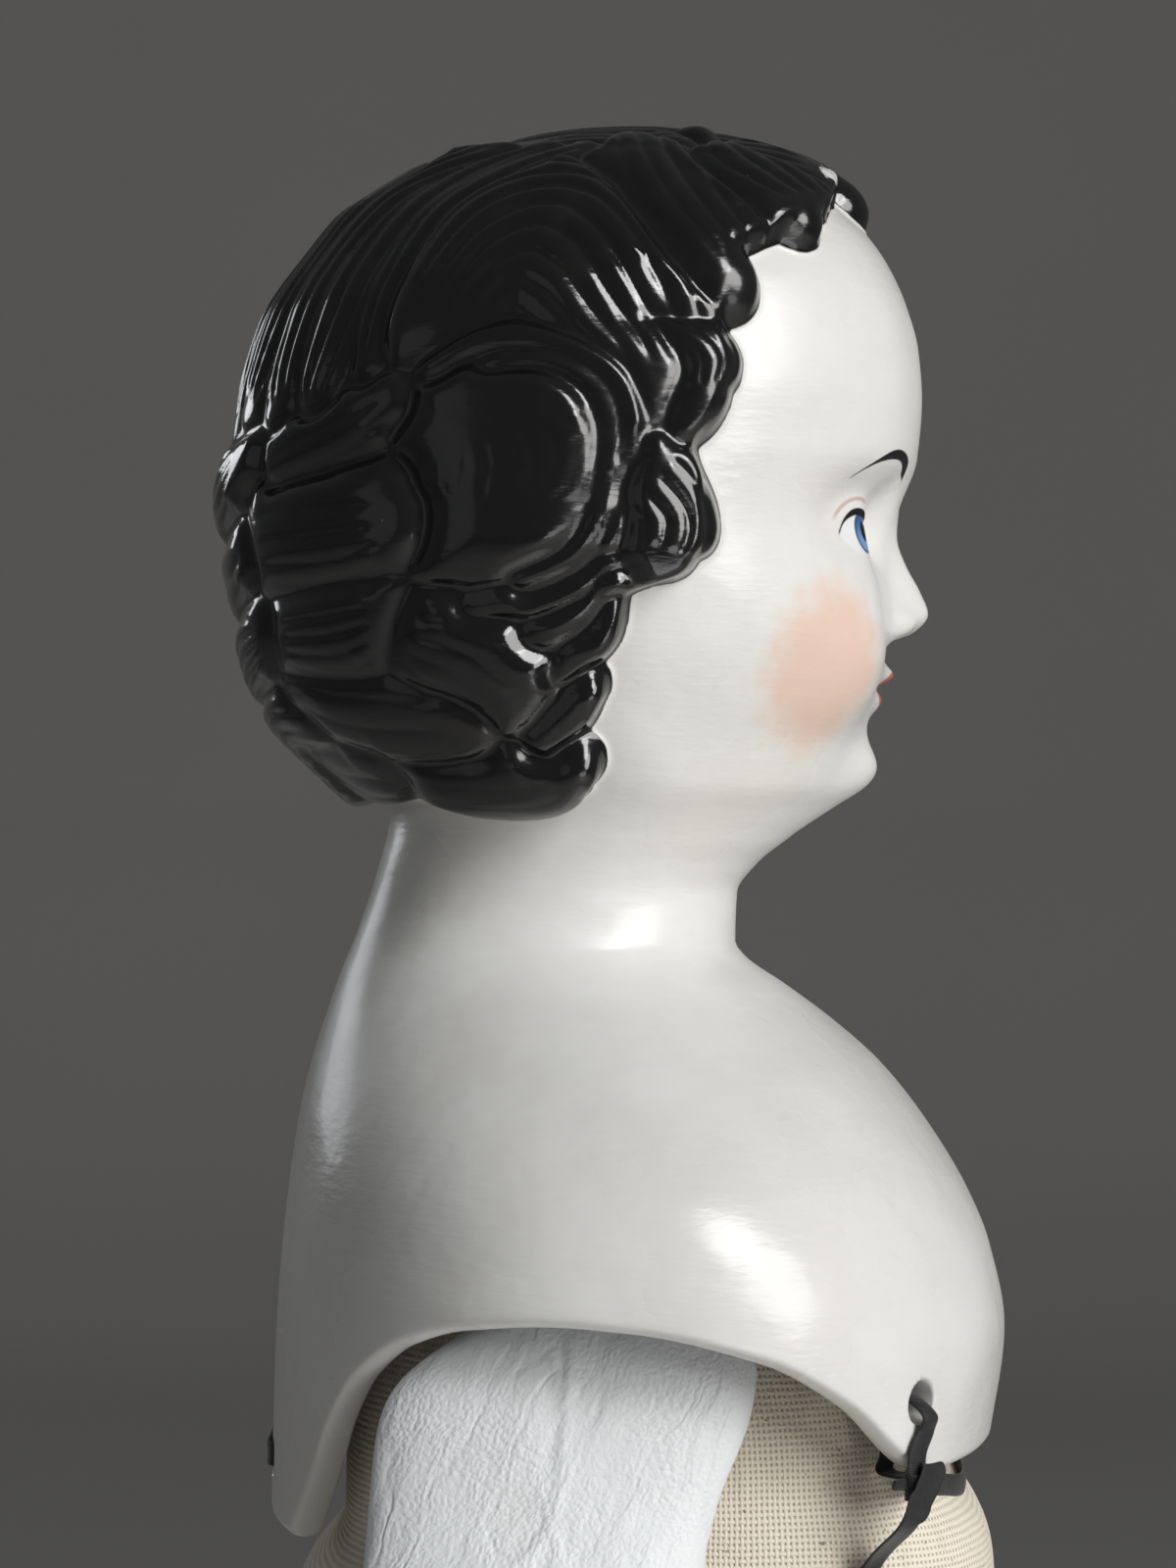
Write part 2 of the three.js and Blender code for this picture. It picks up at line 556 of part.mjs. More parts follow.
function shoulderHead() {
  const domeSteps = 10;
  const faceSteps = 23;
  const plateSteps = 9;
  const insidePlateSteps = 5;
  const insideSteps = 7;
  const middle = HAIR_CENTRE.z;
  const crownRings = Array.from({ length: domeSteps }, (_, i) => {
    const height = middle + (SKULL_TOP - middle) * Math.cos(((i + 1) * Math.PI) / 2 / (domeSteps + 1));
    return headAngles.map((angle) => headOutside(angle, height));
  });
  const faceRings = Array.from({ length: faceSteps }, (_, i) => {
    const height = THREE.MathUtils.lerp(middle, PLATE_TOP, i / faceSteps);
    return headAngles.map((angle) => headOutside(angle, height));
  });
  const plateHeight = (angle, share) => THREE.MathUtils.lerp(PLATE_TOP, plateEdge(angle), share);
  const plateRings = Array.from({ length: plateSteps + 1 }, (_, i) =>
    headAngles.map((angle) => headOutside(angle, plateHeight(angle, i / plateSteps))),
  );
  const insidePlateRings = Array.from({ length: insidePlateSteps + 1 }, (_, i) =>
    headAngles.map((angle) => headInside(angle, plateHeight(angle, 1 - i / insidePlateSteps))),
  );
  const insideTop = SKULL_TOP - CHINA_WALL;
  const insideRings = Array.from({ length: insideSteps }, (_, i) => {
    const share = Math.sin(((i + 1) * Math.PI) / 2 / (insideSteps + 1));
    const height = THREE.MathUtils.lerp(PLATE_TOP, insideTop, share);
    return headAngles.map((angle) => headInside(angle, height));
  });
  const crown = new THREE.Vector3(0, 0, SKULL_TOP);
  crown.z += hairRise(crown) + BUST_Z;
  const insideCrown = new THREE.Vector3(0, 0, BUST_Z + insideTop);
  const casting = loft([
    [crown],
    ...crownRings,
    ...faceRings,
    ...plateRings,
    ...insidePlateRings,
    ...insideRings,
    [insideCrown],
  ]);
  const drills = HOLE_ANGLES.map((angle) => solidOf(sewHole(angle).drill));
  const pierced = drills.reduce((solid, drill) => solid.subtract(drill), solidOf(casting));
  return namedMesh("shoulder_head", geometryOf(pierced), CHINA);
}

// Trunk: a front and a back panel of muslin, sewn up the sides, over the stuffing. It is flat at the hip
// seam, and goes up inside the shoulder plate.
const trunkTop = TRUNK_LENGTH + TRUNK_RISE;
const underPlate = TRUNK_LENGTH + FRONT_EDGE;
const plateInset = CHINA_WALL + PLATE_CLEARANCE;
const trunkFront = smoothCurve([
  [HINGE_GAP / 2, SEAM_HALF],
  [12, SEAM_HALF + 9.4],
  [30, BELLY_DEPTH - 5],
  [50, BELLY_DEPTH],
  [0.5 * TRUNK_LENGTH, BELLY_DEPTH - 1],
  [0.72 * TRUNK_LENGTH, CHEST_DEPTH - 6],
  [TRUNK_LENGTH - 8, CHEST_DEPTH],
  [underPlate - 8, CHEST_DEPTH - 0.5],
  [underPlate - 1.5, PLATE_FRONT - 1.5 - plateInset],
  [underPlate + 8, PLATE_FRONT - 2 - plateInset],
  [trunkTop - 4, PLATE_FRONT - 6 - plateInset],
  [trunkTop, PLATE_FRONT - 20 - plateInset],
]);
const trunkBack = smoothCurve([
  [HINGE_GAP / 2, SEAM_HALF],
  [12, SEAM_HALF + 9.4],
  [30, BACK_DEPTH - 6],
  [50, BACK_DEPTH - 3],
  [0.5 * TRUNK_LENGTH, BACK_DEPTH - 5],
  [TRUNK_LENGTH - 14, BACK_DEPTH],
  [TRUNK_LENGTH - 7, BACK_DEPTH - 0.5],
  [TRUNK_LENGTH - 1.5, PLATE_BACK - 2 - plateInset],
  [TRUNK_LENGTH + 13, PLATE_BACK - 2.5 - plateInset],
  [trunkTop - 4, PLATE_BACK - 5 - plateInset],
  [trunkTop, PLATE_BACK - 13 - plateInset],
]);
const trunkHalfWidth = smoothCurve([
  [0, HIP_HALF_WIDTH - 1],
  [25, HIP_HALF_WIDTH],
  [0.5 * TRUNK_LENGTH, WAIST_HALF_WIDTH],
  [0.8 * TRUNK_LENGTH, SHOULDER_HALF_WIDTH],
  [TRUNK_LENGTH + SHOULDER_PIVOT_RISE, SHOULDER_HALF_WIDTH],
  [trunkTop - 6, SHOULDER_HALF_WIDTH - 5],
  [trunkTop, SHOULDER_HALF_WIDTH - 16],
]);
const trunkPower = smoothCurve([
  [0, 2.2],
  [0.5 * TRUNK_LENGTH, 2.3],
  [TRUNK_LENGTH - 20, 3.5],
  [trunkTop, 3],
]);
const trunkSection = (rise) => ({
  halfWidth: trunkHalfWidth(rise),
  front: trunkFront(rise),
  back: trunkBack(rise),
  power: trunkPower(rise),
});
const trunkPoint = (angle, rise, depth) => sectionPoint(inset(trunkSection(rise), depth), angle, HIP_Z + rise);

const trunkRises = Array.from({ length: TRUNK_ROWS + 1 }, (_, i) =>
  THREE.MathUtils.lerp(HINGE_GAP / 2, trunkTop, i / TRUNK_ROWS),
);

// The cloth presses thinner where it is stitched flat.
const pressed = (thickness, { front, back }) => Math.min(thickness, 0.6 * Math.min(front, back));
const trunkWall = (rise) => pressed(MUSLIN, trunkSection(rise));

// Angles across a panel, from one side seam to the other.
function panelAngles(middleAngle) {
  const halfSpan = Math.PI / 2 - SEAM_GAP / SHOULDER_HALF_WIDTH;
  return Array.from({ length: PANEL_STEPS + 1 }, (_, i) =>
    middleAngle + THREE.MathUtils.lerp(-halfSpan, halfSpan, i / PANEL_STEPS),
  );
}

function trunkPanel(name, middleAngle) {
  const angles = panelAngles(middleAngle);
  const outside = (row, column) => trunkPoint(angles[column], trunkRises[row], 0);
  const inside = (row, column) => trunkPoint(angles[column], trunkRises[row], trunkWall(trunkRises[row]));
  return namedMesh(name, thickSheet(trunkRises.length, angles.length, outside, inside), MUSLIN_CLOTH);
}

function trunkStuffing() {
  const angles = [...panelAngles(0), ...panelAngles(Math.PI)];
  const rings = trunkRises.slice(1, -1).map((rise) => {
    const depth = trunkWall(rise) + FILLING_GAP;
    return angles.map((angle) => trunkPoint(angle, rise, depth));
  });
  return namedMesh("torso_stuffing", loft(rings.toReversed()), COTTON_FILLING);
}

// A limb is a casing stitched flat at its ends, over its own stuffing. Its sections run from one end to the
// other. It is hollow between the second and the last but one, or from the section whose number is given,
// and open along a slit up its back, where it was stuffed.
function limb(sections, thickness, hollowFrom = 1) {
  const angles = evenAngles(LIMB_STEPS);
  const ring = (section, depth) => angles.map((angle) => sectionPoint(inset(section, depth), angle, section.z));
  const outside = sections.map((section) => ring(section, 0));
  const hollow = sections.slice(hollowFrom, -1);
  const inside = hollow.map((section) => ring(section, pressed(thickness, section)));
  const filled = hollow.map((section) => ring(section, pressed(thickness, section) + FILLING_GAP));
  const inward = Math.sign(hollow.at(-1).z - hollow[0].z) * FILLING_GAP;
  for (const point of filled[0]) point.z += inward;
  for (const point of filled.at(-1)) point.z -= inward;
  const middle = hollow[Math.floor(hollow.length / 2)];
  const slit = new THREE.BoxGeometry(SEAM_GAP, 2 * middle.back, SLIT_LENGTH);
  slit.translate(middle.middle ?? 0, middle.back, middle.z);
  const shell = solidOf(loft(outside)).subtract(solidOf(loft(inside))).subtract(solidOf(slit));
  return { casing: geometryOf(shell), stuffing: loft(filled) };
}

// Heights along a limb, closer together towards both ends.
function limbLevels(from, to, steps) {
  return Array.from({ length: steps + 1 }, (_, i) => {
    const share = i / steps - (0.55 * Math.sin((2 * Math.PI * i) / steps)) / (2 * Math.PI);
    return THREE.MathUtils.lerp(from, to, share);
  });
}

// Arms, in a frame with its origin on the shoulder seat: X out of the seat, Z up the arm.
const armRoom = PLATE_HALF_WIDTH - CHINA_WALL - SHOULDER_HALF_WIDTH - SEAT_GAP - PLATE_CLEARANCE;
const armTopHalfWidth = armRoom / 2 - 0.8;
const elbowZ = -UPPER_ARM_LENGTH;
const wristZ = elbowZ - FOREARM_LENGTH;
const palmZ = wristZ - PALM_LENGTH;

const upperArmDepth = smoothCurve([
  [elbowZ + HINGE_GAP / 2, SEAM_HALF],
  [elbowZ + 9, SEAM_HALF + 6.6],
  [elbowZ + 22, ARM_HALF_DEPTH - 3.6],
  [0.4 * elbowZ, ARM_HALF_DEPTH - 1.4],
  [-10, ARM_HALF_DEPTH],
  [ARM_TOP, ARM_HALF_DEPTH],
]);
// How much the shoulder end is taken in, in front and behind.
const armTopFront = smoothCurve([
  [0.45 * elbowZ, 0],
  [-8, 2.4],
  [ARM_TOP - 14, 0],
  [ARM_TOP - 9, -0.2],
  [ARM_TOP - 5, 3],
  [ARM_TOP - 2, 7],
  [ARM_TOP, 12],
]);
const armTopBack = smoothCurve([
  [ARM_TOP - 19, 0],
  [ARM_TOP - 14.5, 1.8],
  [ARM_TOP - 11.5, 4.6],
  [ARM_TOP - 9, 7.6],
  [ARM_TOP - 6, 10.8],
  [ARM_TOP - 3, 13.2],
  [ARM_TOP, 15.5],
]);
const upperArmHalfWidth = smoothCurve([
  [elbowZ, ARM_HALF_WIDTH - 1.5],
  [elbowZ + 20, ARM_HALF_WIDTH - 0.4],
  [0.45 * elbowZ, ARM_HALF_WIDTH],
  [-22, ARM_HALF_WIDTH - 2.2],
  [-6, armTopHalfWidth + 1],
  [ARM_TOP - 12, armTopHalfWidth],
  [ARM_TOP - 5, armTopHalfWidth - 1.2],
  [ARM_TOP, armTopHalfWidth - 2.4],
]);
const forearmDepth = smoothCurve([
  [palmZ, WRIST_HALF_DEPTH + 2.6],
  [palmZ + 5, WRIST_HALF_DEPTH + 4],
  [wristZ - 10, WRIST_HALF_DEPTH + 3],
  [wristZ, WRIST_HALF_DEPTH],
  [wristZ + 12, WRIST_HALF_DEPTH + 1.2],
  [elbowZ - 28, ARM_HALF_DEPTH - 5],
  [elbowZ - 9, SEAM_HALF + 6.4],
  [elbowZ - HINGE_GAP / 2, SEAM_HALF],
]);
const forearmHalfWidth = smoothCurve([
  [palmZ, 3.6],
  [palmZ + 5, 4.4],
  [wristZ - 10, 5],
  [wristZ, WRIST_HALF_DEPTH - 1],
  [elbowZ - 30, ARM_HALF_WIDTH - 0.8],
  [elbowZ, ARM_HALF_WIDTH - 1.5],
]);

// The shoulder end lies flat against its seat; the rest of the arm hangs round one middle line.
function upperArmSections() {
  const levels = limbLevels(ARM_TOP, elbowZ + HINGE_GAP / 2, 12);
  return levels.map((z) => {
    const halfWidth = upperArmHalfWidth(z);
    const front = upperArmDepth(z) - armTopFront(z);
    const back = upperArmDepth(z) - armTopBack(z);
    return { z, middle: halfWidth, halfWidth, front, back, power: 2.2 };
  });
}

// Fingers side by side along the palm's end: [forward, length, lean forward].
const FINGERS = [
  [7.3, 16, 0.09],
  [2.4, 20, 0.03],
  [-2.6, 19, -0.04],
  [-7.2, 15, -0.11],
];
const THUMB = [WRIST_HALF_DEPTH + 1.2, 15, 0.35];

function finger(forward, length, lean) {
  const capsule = new THREE.CapsuleGeometry(FINGER_RADIUS, length, 3, 8);
  capsule.rotateX(Math.PI / 2).rotateZ(0.2).translate(0, 0, -length / 2);
  capsule.rotateX(-lean);
  return capsule.translate(ARM_HALF_WIDTH - 1.5, -forward, 0);
}

function forearm() {
  const levels = limbLevels(palmZ, elbowZ - HINGE_GAP / 2, 12);
  const middle = ARM_HALF_WIDTH - 1.5;
  const sections = levels.map((z) => {
    const depth = forearmDepth(z);
    return { z, middle, halfWidth: forearmHalfWidth(z), front: depth, back: depth, power: 2.2 };
  });
  const hollowFrom = levels.findIndex((z) => z > wristZ);
  const { casing, stuffing } = limb(sections, LEATHER, hollowFrom);
  const fingers = FINGERS.map((sizes) => finger(...sizes).translate(0, 0, palmZ + 3.3));
  const thumb = finger(...THUMB).translate(0, 0, wristZ - 8);
  return { casing: joined([casing, ...fingers, thumb]), stuffing };
}

// Stands an arm's geometry at its shoulder, splayed out and tilted back, on the left (1) or right (-1).
function atShoulder(geometry, side) {
  const placed = geometry.clone();
  placed.rotateY(-ARM_SPLAY).rotateX(ARM_TILT);
  placed.translate(SHOULDER_HALF_WIDTH + SEAT_GAP, SHOULDER_SETBACK, BUST_Z + SHOULDER_PIVOT_RISE);
  return side < 0 ? mirrored(placed) : placed;
}

// Copy reflected to the doll's other side, with its faces turned back out.
function mirrored(geometry) {
  const copy = geometry.clone().scale(-1, 1, 1);
  const corners = Array.from(copy.index.array);
  return copy.setIndex(corners.map((_, i) => corners[i - (i % 3) + ((3 - (i % 3)) % 3)]));
}

// Legs, on their own axis.
const legX = LEG_GAP + THIGH_HALF_WIDTH;
const thighDepth = smoothCurve([
  [KNEE_Z + HINGE_GAP / 2, SEAM_HALF],
  [KNEE_Z + 12, SEAM_HALF + 8],
  [KNEE_Z + 30, THIGH_HALF_DEPTH - 6],
  [KNEE_Z + 0.55 * THIGH_LENGTH, THIGH_HALF_DEPTH - 1.5],
  [HIP_Z - 45, THIGH_HALF_DEPTH],
  [HIP_Z - 28, THIGH_HALF_DEPTH - 2.5],
  [HIP_Z - 12, SEAM_HALF + 9.2],
  [HIP_Z - HINGE_GAP / 2, SEAM_HALF],
]);
const thighHalfWidth = smoothCurve([
  [KNEE_Z, KNEE_HALF_WIDTH],
  [KNEE_Z + 30, KNEE_HALF_WIDTH + 1.5],
  [HIP_Z - 50, THIGH_HALF_WIDTH - 0.6],
  [HIP_Z, THIGH_HALF_WIDTH],
]);
const shinFront = smoothCurve([
  [0, FOOT_LENGTH - 2],
  [1.4, FOOT_LENGTH - 0.8],
  [5, FOOT_LENGTH],
  [10, FOOT_LENGTH - 3],
  [18, FOOT_LENGTH - 13],
  [26, FOOT_LENGTH - 25],
  [35, 13],
  [KNEE_Z - 74, 13],
  [KNEE_Z - 30, 13.5],
  [KNEE_Z - 12, SEAM_HALF + 8],
  [KNEE_Z - HINGE_GAP / 2, SEAM_HALF],
]);
const shinBack = smoothCurve([
  [0, 13],
  [6, 14.5],
  [26, 11.5],
  [36, 11],
  [KNEE_Z - 60, CALF_DEPTH - 1],
  [KNEE_Z - 34, CALF_DEPTH],
  [KNEE_Z - 12, SEAM_HALF + 8],
  [KNEE_Z - HINGE_GAP / 2, SEAM_HALF],
]);
const shinHalfWidth = smoothCurve([
  [0, FOOT_HALF_WIDTH - 1.5],
  [1.4, FOOT_HALF_WIDTH - 0.6],
  [7, FOOT_HALF_WIDTH],
  [24, ANKLE_HALF_WIDTH + 0.8],
  [36, ANKLE_HALF_WIDTH],
  [KNEE_Z - 34, KNEE_HALF_WIDTH],
  [KNEE_Z, KNEE_HALF_WIDTH],
]);

function thigh() {
  const levels = limbLevels(KNEE_Z + HINGE_GAP / 2, HIP_Z - HINGE_GAP / 2, 11);
  const sections = levels.map((z) => ({
    z,
    halfWidth: thighHalfWidth(z),
    front: thighDepth(z),
    back: thighDepth(z),
  }));
  return limb(sections, MUSLIN);
}

// The sole is flat, and the levels crowd together over the foot.
function shin() {
  const footLevels = [0, 1.4, 5, 10, 18, 26];
  const levels = [...footLevels, ...limbLevels(35, KNEE_Z - HINGE_GAP / 2, 8)];
  const sections = levels.map((z) => ({
    z,
    halfWidth: shinHalfWidth(z),
    front: shinFront(z),
    back: shinBack(z),
  }));
  return limb(sections, MUSLIN);
}

// Ribbon: flat strips along a path, lying the given way across.
function strip(points, across, steps) {
  const path = new THREE.CatmullRomCurve3(points);
  const place = (face) => (row, column) => {
    const share = row / steps;
    const thickness = path.getTangent(share).cross(across).normalize();
    const point = path.getPoint(share).addScaledVector(across, (column - 0.5) * RIBBON_WIDTH);
    return point.addScaledVector(thickness, (face * RIBBON_THICKNESS) / 2);
  };
  return thickSheet(steps + 1, 2, place(1), place(-1));
}

// Each front tie is a loop through its sew hole, knotted under the plate's edge, with a free tail; a band
// over the trunk joins the two ties.
const UP = new THREE.Vector3(0, 0, 1);
const offSurface = RIBBON_THICKNESS / 2 + RIBBON_CLEARANCE;

function tie(angle, tailAngles) {
  const edge = plateEdge(angle);
  const { middle, outward } = sewHole(angle);
  const across = outward.clone().cross(UP).normalize();
  const outside = (height) => headOutside(angle, height).addScaledVector(outward, offSurface);
  const inside = (height) => headInside(angle, height).addScaledVector(outward, -offSurface);
  const knot = outside(edge).setZ(BUST_Z + edge - KNOT_DROP);
  const underEdge = middle.clone().setZ(BUST_Z + edge - 2 * offSurface);
  const hole = edge + SEW_HOLE_RISE;
  const loop = strip(
    [
      knot,
      outside(edge + 1),
      outside(hole - 0.4).addScaledVector(outward, RIBBON_CLEARANCE),
      middle.clone().setZ(middle.z + 0.5),
      inside(hole - 0.4).addScaledVector(outward, -RIBBON_CLEARANCE),
      inside(edge + 1),
      inside(edge - 1),
      underEdge,
      knot,
    ],
    across,
    22,
  );
  const lump = new THREE.SphereGeometry(1, 8, 6).scale(2.3, 1.5, 2.1);
  lump.rotateZ(Math.atan2(across.y, across.x)).translate(...knot);
  const tail = tailAngles.map((tailAngle, i) => {
    const rise = knot.z - HIP_Z - ((i + 1) * TAIL_LENGTH) / tailAngles.length;
    return trunkPoint(tailAngle, rise, -offSurface - RIBBON_CLEARANCE);
  });
  return { knot, pieces: [loop, lump, strip([knot, ...tail], across, 6)] };
}

function ribbon(name, angles, bandAngles, tailAngles) {
  const ties = angles.map((angle, i) => tie(angle, tailAngles[i]));
  const rise = ties[0].knot.z - HIP_Z - KNOT_DROP / 2;
  const band = bandAngles.map((angle) => {
    const point = trunkPoint(angle, rise - RIBBON_WIDTH / 2, -offSurface);
    return point.setZ(HIP_Z + rise);
  });
  const across = strip([ties[0].knot, ...band, ties[1].knot], UP, 16);
  return namedMesh(name, joined([...ties.flatMap((each) => each.pieces), across]), BLACK_RIBBON);
}

// Behind, one flat stitch runs across the plate from hole to hole and back inside it along the trunk,
// where its two ends meet.
function stitch(name, angle) {
  const [start, end] = [Math.PI - angle, Math.PI + angle];
  const hole = plateEdge(Math.PI) + SEW_HOLE_RISE;
  const along = (share) => THREE.MathUtils.lerp(start, end, share);
  const outside = (share) => {
    const { middle, outward } = sewHole(along(share));
    return middle.addScaledVector(outward, CHINA_WALL / 2 + offSurface);
  };
  const inside = (share) => trunkPoint(along(share), BUST_Z + hole - HIP_Z, -offSurface);
  const points = [
    inside(0.45),
    inside(0.3),
    inside(0.1),
    sewHole(start).middle,
    outside(0.1),
    outside(0.35),
    outside(0.65),
    outside(0.9),
    sewHole(end).middle,
    inside(0.9),
    inside(0.7),
    inside(0.55),
  ];
  return namedMesh(name, strip(points, UP, 36), BLACK_RIBBON);
}

const doll = new THREE.Group();
doll.add(shoulderHead());
doll.add(trunkPanel("torso_front_panel", 0));
doll.add(trunkPanel("torso_back_panel", Math.PI));
doll.add(trunkStuffing());
doll.add(
  ribbon(
    "front_ribbon",
    [-FRONT_HOLE_ANGLE, FRONT_HOLE_ANGLE],
    [-0.72, -0.5, -0.25, 0, 0.25, 0.5, 0.72],
    [
      [-0.86, -0.94, -1.02],
      [0.86, 0.94, 1.02],
    ],
  ),
);
doll.add(stitch("back_ribbon", BACK_HOLE_ANGLE));

const upperArmParts = limb(upperArmSections(), LEATHER);
const forearmParts = forearm();
const thighParts = thigh();
const shinParts = shin();
for (const [sideName, side] of Object.entries({ left: 1, right: -1 })) {
  for (const [name, { casing, stuffing }] of Object.entries({ upper_arm: upperArmParts, forearm: forearmParts })) {
    doll.add(namedMesh(`${sideName}_${name}_leather`, atShoulder(casing, side), WHITE_LEATHER));
    doll.add(namedMesh(`${sideName}_${name}_stuffing`, atShoulder(stuffing, side), COTTON_FILLING));
  }
  for (const [name, { casing, stuffing }] of Object.entries({ thigh: thighParts, shin: shinParts })) {
    doll.add(namedMesh(`${sideName}_${name}_muslin`, casing.clone().translate(side * legX, 0, 0), MUSLIN_CLOTH));
    doll.add(namedMesh(`${sideName}_${name}_stuffing`, stuffing.clone().translate(side * legX, 0, 0), COTTON_FILLING));
  }
}

// The origin lies under the middle of the doll's box.
const box = new THREE.Box3().setFromObject(doll);
for (const mesh of doll.children) mesh.geometry.translate(0, -(box.min.y + box.max.y) / 2, 0);

export default doll;
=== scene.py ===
import math

import bpy
import numpy as np
from mathutils import Matrix, Vector, kdtree


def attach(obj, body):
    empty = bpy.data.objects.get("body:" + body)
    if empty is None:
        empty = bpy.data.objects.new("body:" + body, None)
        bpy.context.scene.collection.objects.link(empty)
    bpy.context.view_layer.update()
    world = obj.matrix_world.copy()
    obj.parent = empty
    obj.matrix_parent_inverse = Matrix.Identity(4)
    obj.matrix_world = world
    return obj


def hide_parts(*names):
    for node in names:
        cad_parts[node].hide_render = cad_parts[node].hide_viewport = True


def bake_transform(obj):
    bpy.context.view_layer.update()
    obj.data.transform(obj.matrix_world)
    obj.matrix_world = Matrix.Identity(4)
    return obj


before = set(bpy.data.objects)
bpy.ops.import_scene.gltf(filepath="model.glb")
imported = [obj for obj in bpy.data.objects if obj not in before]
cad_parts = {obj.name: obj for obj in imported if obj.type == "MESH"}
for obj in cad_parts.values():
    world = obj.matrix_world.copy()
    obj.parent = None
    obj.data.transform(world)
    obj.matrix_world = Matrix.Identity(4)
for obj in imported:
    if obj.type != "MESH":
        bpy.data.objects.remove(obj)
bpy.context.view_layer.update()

# Trunk: two panels of unbleached muslin, sewn up the sides and stuffed hard with cotton. It is stitched
# flat along the hips, and its shoulders go up inside the china plate. Sizes are in millimetres, on axes
# whose origin is on the floor under the doll's neck.
MIDDLE_SETBACK = 2.465  # the neck is in front of the middle of the doll's box
HIP, BUST = 268.0, 421.0


def drafted(*points):
    """Smooth curve through (place, size) pairs that never overshoots between them."""
    places, sizes = np.array(points, float).T
    steps = np.diff(sizes) / np.diff(places)
    before, after = steps[:-1], steps[1:]
    turning = before * after <= 0
    inner = np.where(turning, 0, 2 * before * after / np.where(turning, 1, before + after))
    slopes = np.concatenate([steps[:1], inner, steps[-1:]])

    def curve(at):
        at = np.clip(at, places[0], places[-1])
        i = np.clip(np.searchsorted(places, at, side="right") - 1, 0, len(places) - 2)
        span = places[i + 1] - places[i]
        t = (at - places[i]) / span
        ease = t * t * (3 - 2 * t)
        lean = slopes[i] * t * (1 - t) ** 2 + slopes[i + 1] * t * t * (t - 1)
        return sizes[i] + (sizes[i + 1] - sizes[i]) * ease + span * lean

    return curve


def step(low, high, value):
    t = np.clip((value - low) / (high - low), 0, 1)
    return t * t * (3 - 2 * t)


def unit(ways):
    return ways / np.linalg.norm(ways, axis=-1, keepdims=True)


def bump_at(distance, reach):
    return np.exp(-((distance / reach) ** 2))


def section(half_width, front, back, angle, power=2.1, middle=0.0):
    """Across and back from the axis on a rounded section, at an angle from straight ahead."""
    across = np.sign(np.sin(angle)) * np.abs(np.sin(angle)) ** (2 / power)
    ahead = np.sign(np.cos(angle)) * np.abs(np.cos(angle)) ** (2 / power)
    back_from_axis = (back - front) / 2 - (front + back) / 2 * ahead
    return np.broadcast_arrays(middle + half_width * across, back_from_axis)


def ring_turns(columns):
    return np.linspace(0, 2 * np.pi, columns, endpoint=False)[None, :]


def shown(name, data):
    thing = bpy.data.objects.new(name, data)
    bpy.context.collection.objects.link(thing)
    return thing


def sewn_tube(name, grid, place=None):
    """Closed skin over rows of points in millimetres, with a fan over each end."""
    rows, columns = grid.shape[:2]
    points = [*grid.reshape(-1, 3), grid[0].mean(axis=0), grid[-1].mean(axis=0)]
    row, column = np.meshgrid(np.arange(rows - 1), np.arange(columns), indexing="ij")
    corner = row * columns + column
    beside = row * columns + (column + 1) % columns
    faces = np.stack([corner, beside, beside + columns, corner + columns], -1).reshape(-1, 4).tolist()
    top = (rows - 1) * columns
    ends = rows * columns
    for i in range(columns):
        faces.append([(i + 1) % columns, i, ends])
        faces.append([top + i, top + (i + 1) % columns, ends + 1])
    mesh = bpy.data.meshes.new(name)
    mesh.from_pydata((np.array(points) / 1000).tolist(), [], faces)
    piece = shown(name, mesh)
    piece.matrix_world = place or Matrix.Translation((0, MIDDLE_SETBACK / 1000, 0))
    faced_out(piece)
    return piece


def faced_out(piece):
    points = points_of(piece)
    piece.data.calc_loop_triangles()
    corners = np.empty(3 * len(piece.data.loop_triangles), int)
    piece.data.loop_triangles.foreach_get("vertices", corners)
    a, b, c = (points[corners[k::3]] for k in range(3))
    if np.einsum("ij,ij->i", a, np.cross(b, c)).sum() < 0:
        piece.data.flip_normals()
    piece.data.shade_smooth()


def points_of(piece, kind="co", scale=1000):
    values = np.empty(3 * len(piece.data.vertices))
    piece.data.vertices.foreach_get(kind, values)
    return scale * values.reshape(-1, 3)


def normals_of(piece):
    return points_of(piece, "normal", 1)


def moved_to(piece, points):
    piece.data.vertices.foreach_set("co", (points / 1000).ravel())
    piece.data.update()


def settled(piece):
    """The piece with its modifiers worked into its own mesh."""
    evaluated = piece.evaluated_get(bpy.context.evaluated_depsgraph_get())
    old = piece.data
    piece.data = bpy.data.meshes.new_from_object(evaluated)
    piece.modifiers.clear()
    bpy.data.meshes.remove(old)
    piece.data.name = piece.name
    piece.data.shade_smooth()


def stitched_rows(rows, columns, low, high, ends=()):
    """Points of a sewn tube's lowest and highest rows, and of the middle of its fan at the ends named."""
    points = range(rows * columns)
    return [*points[: low * columns], *points[-high * columns :], *(len(points) + end for end in ends)]


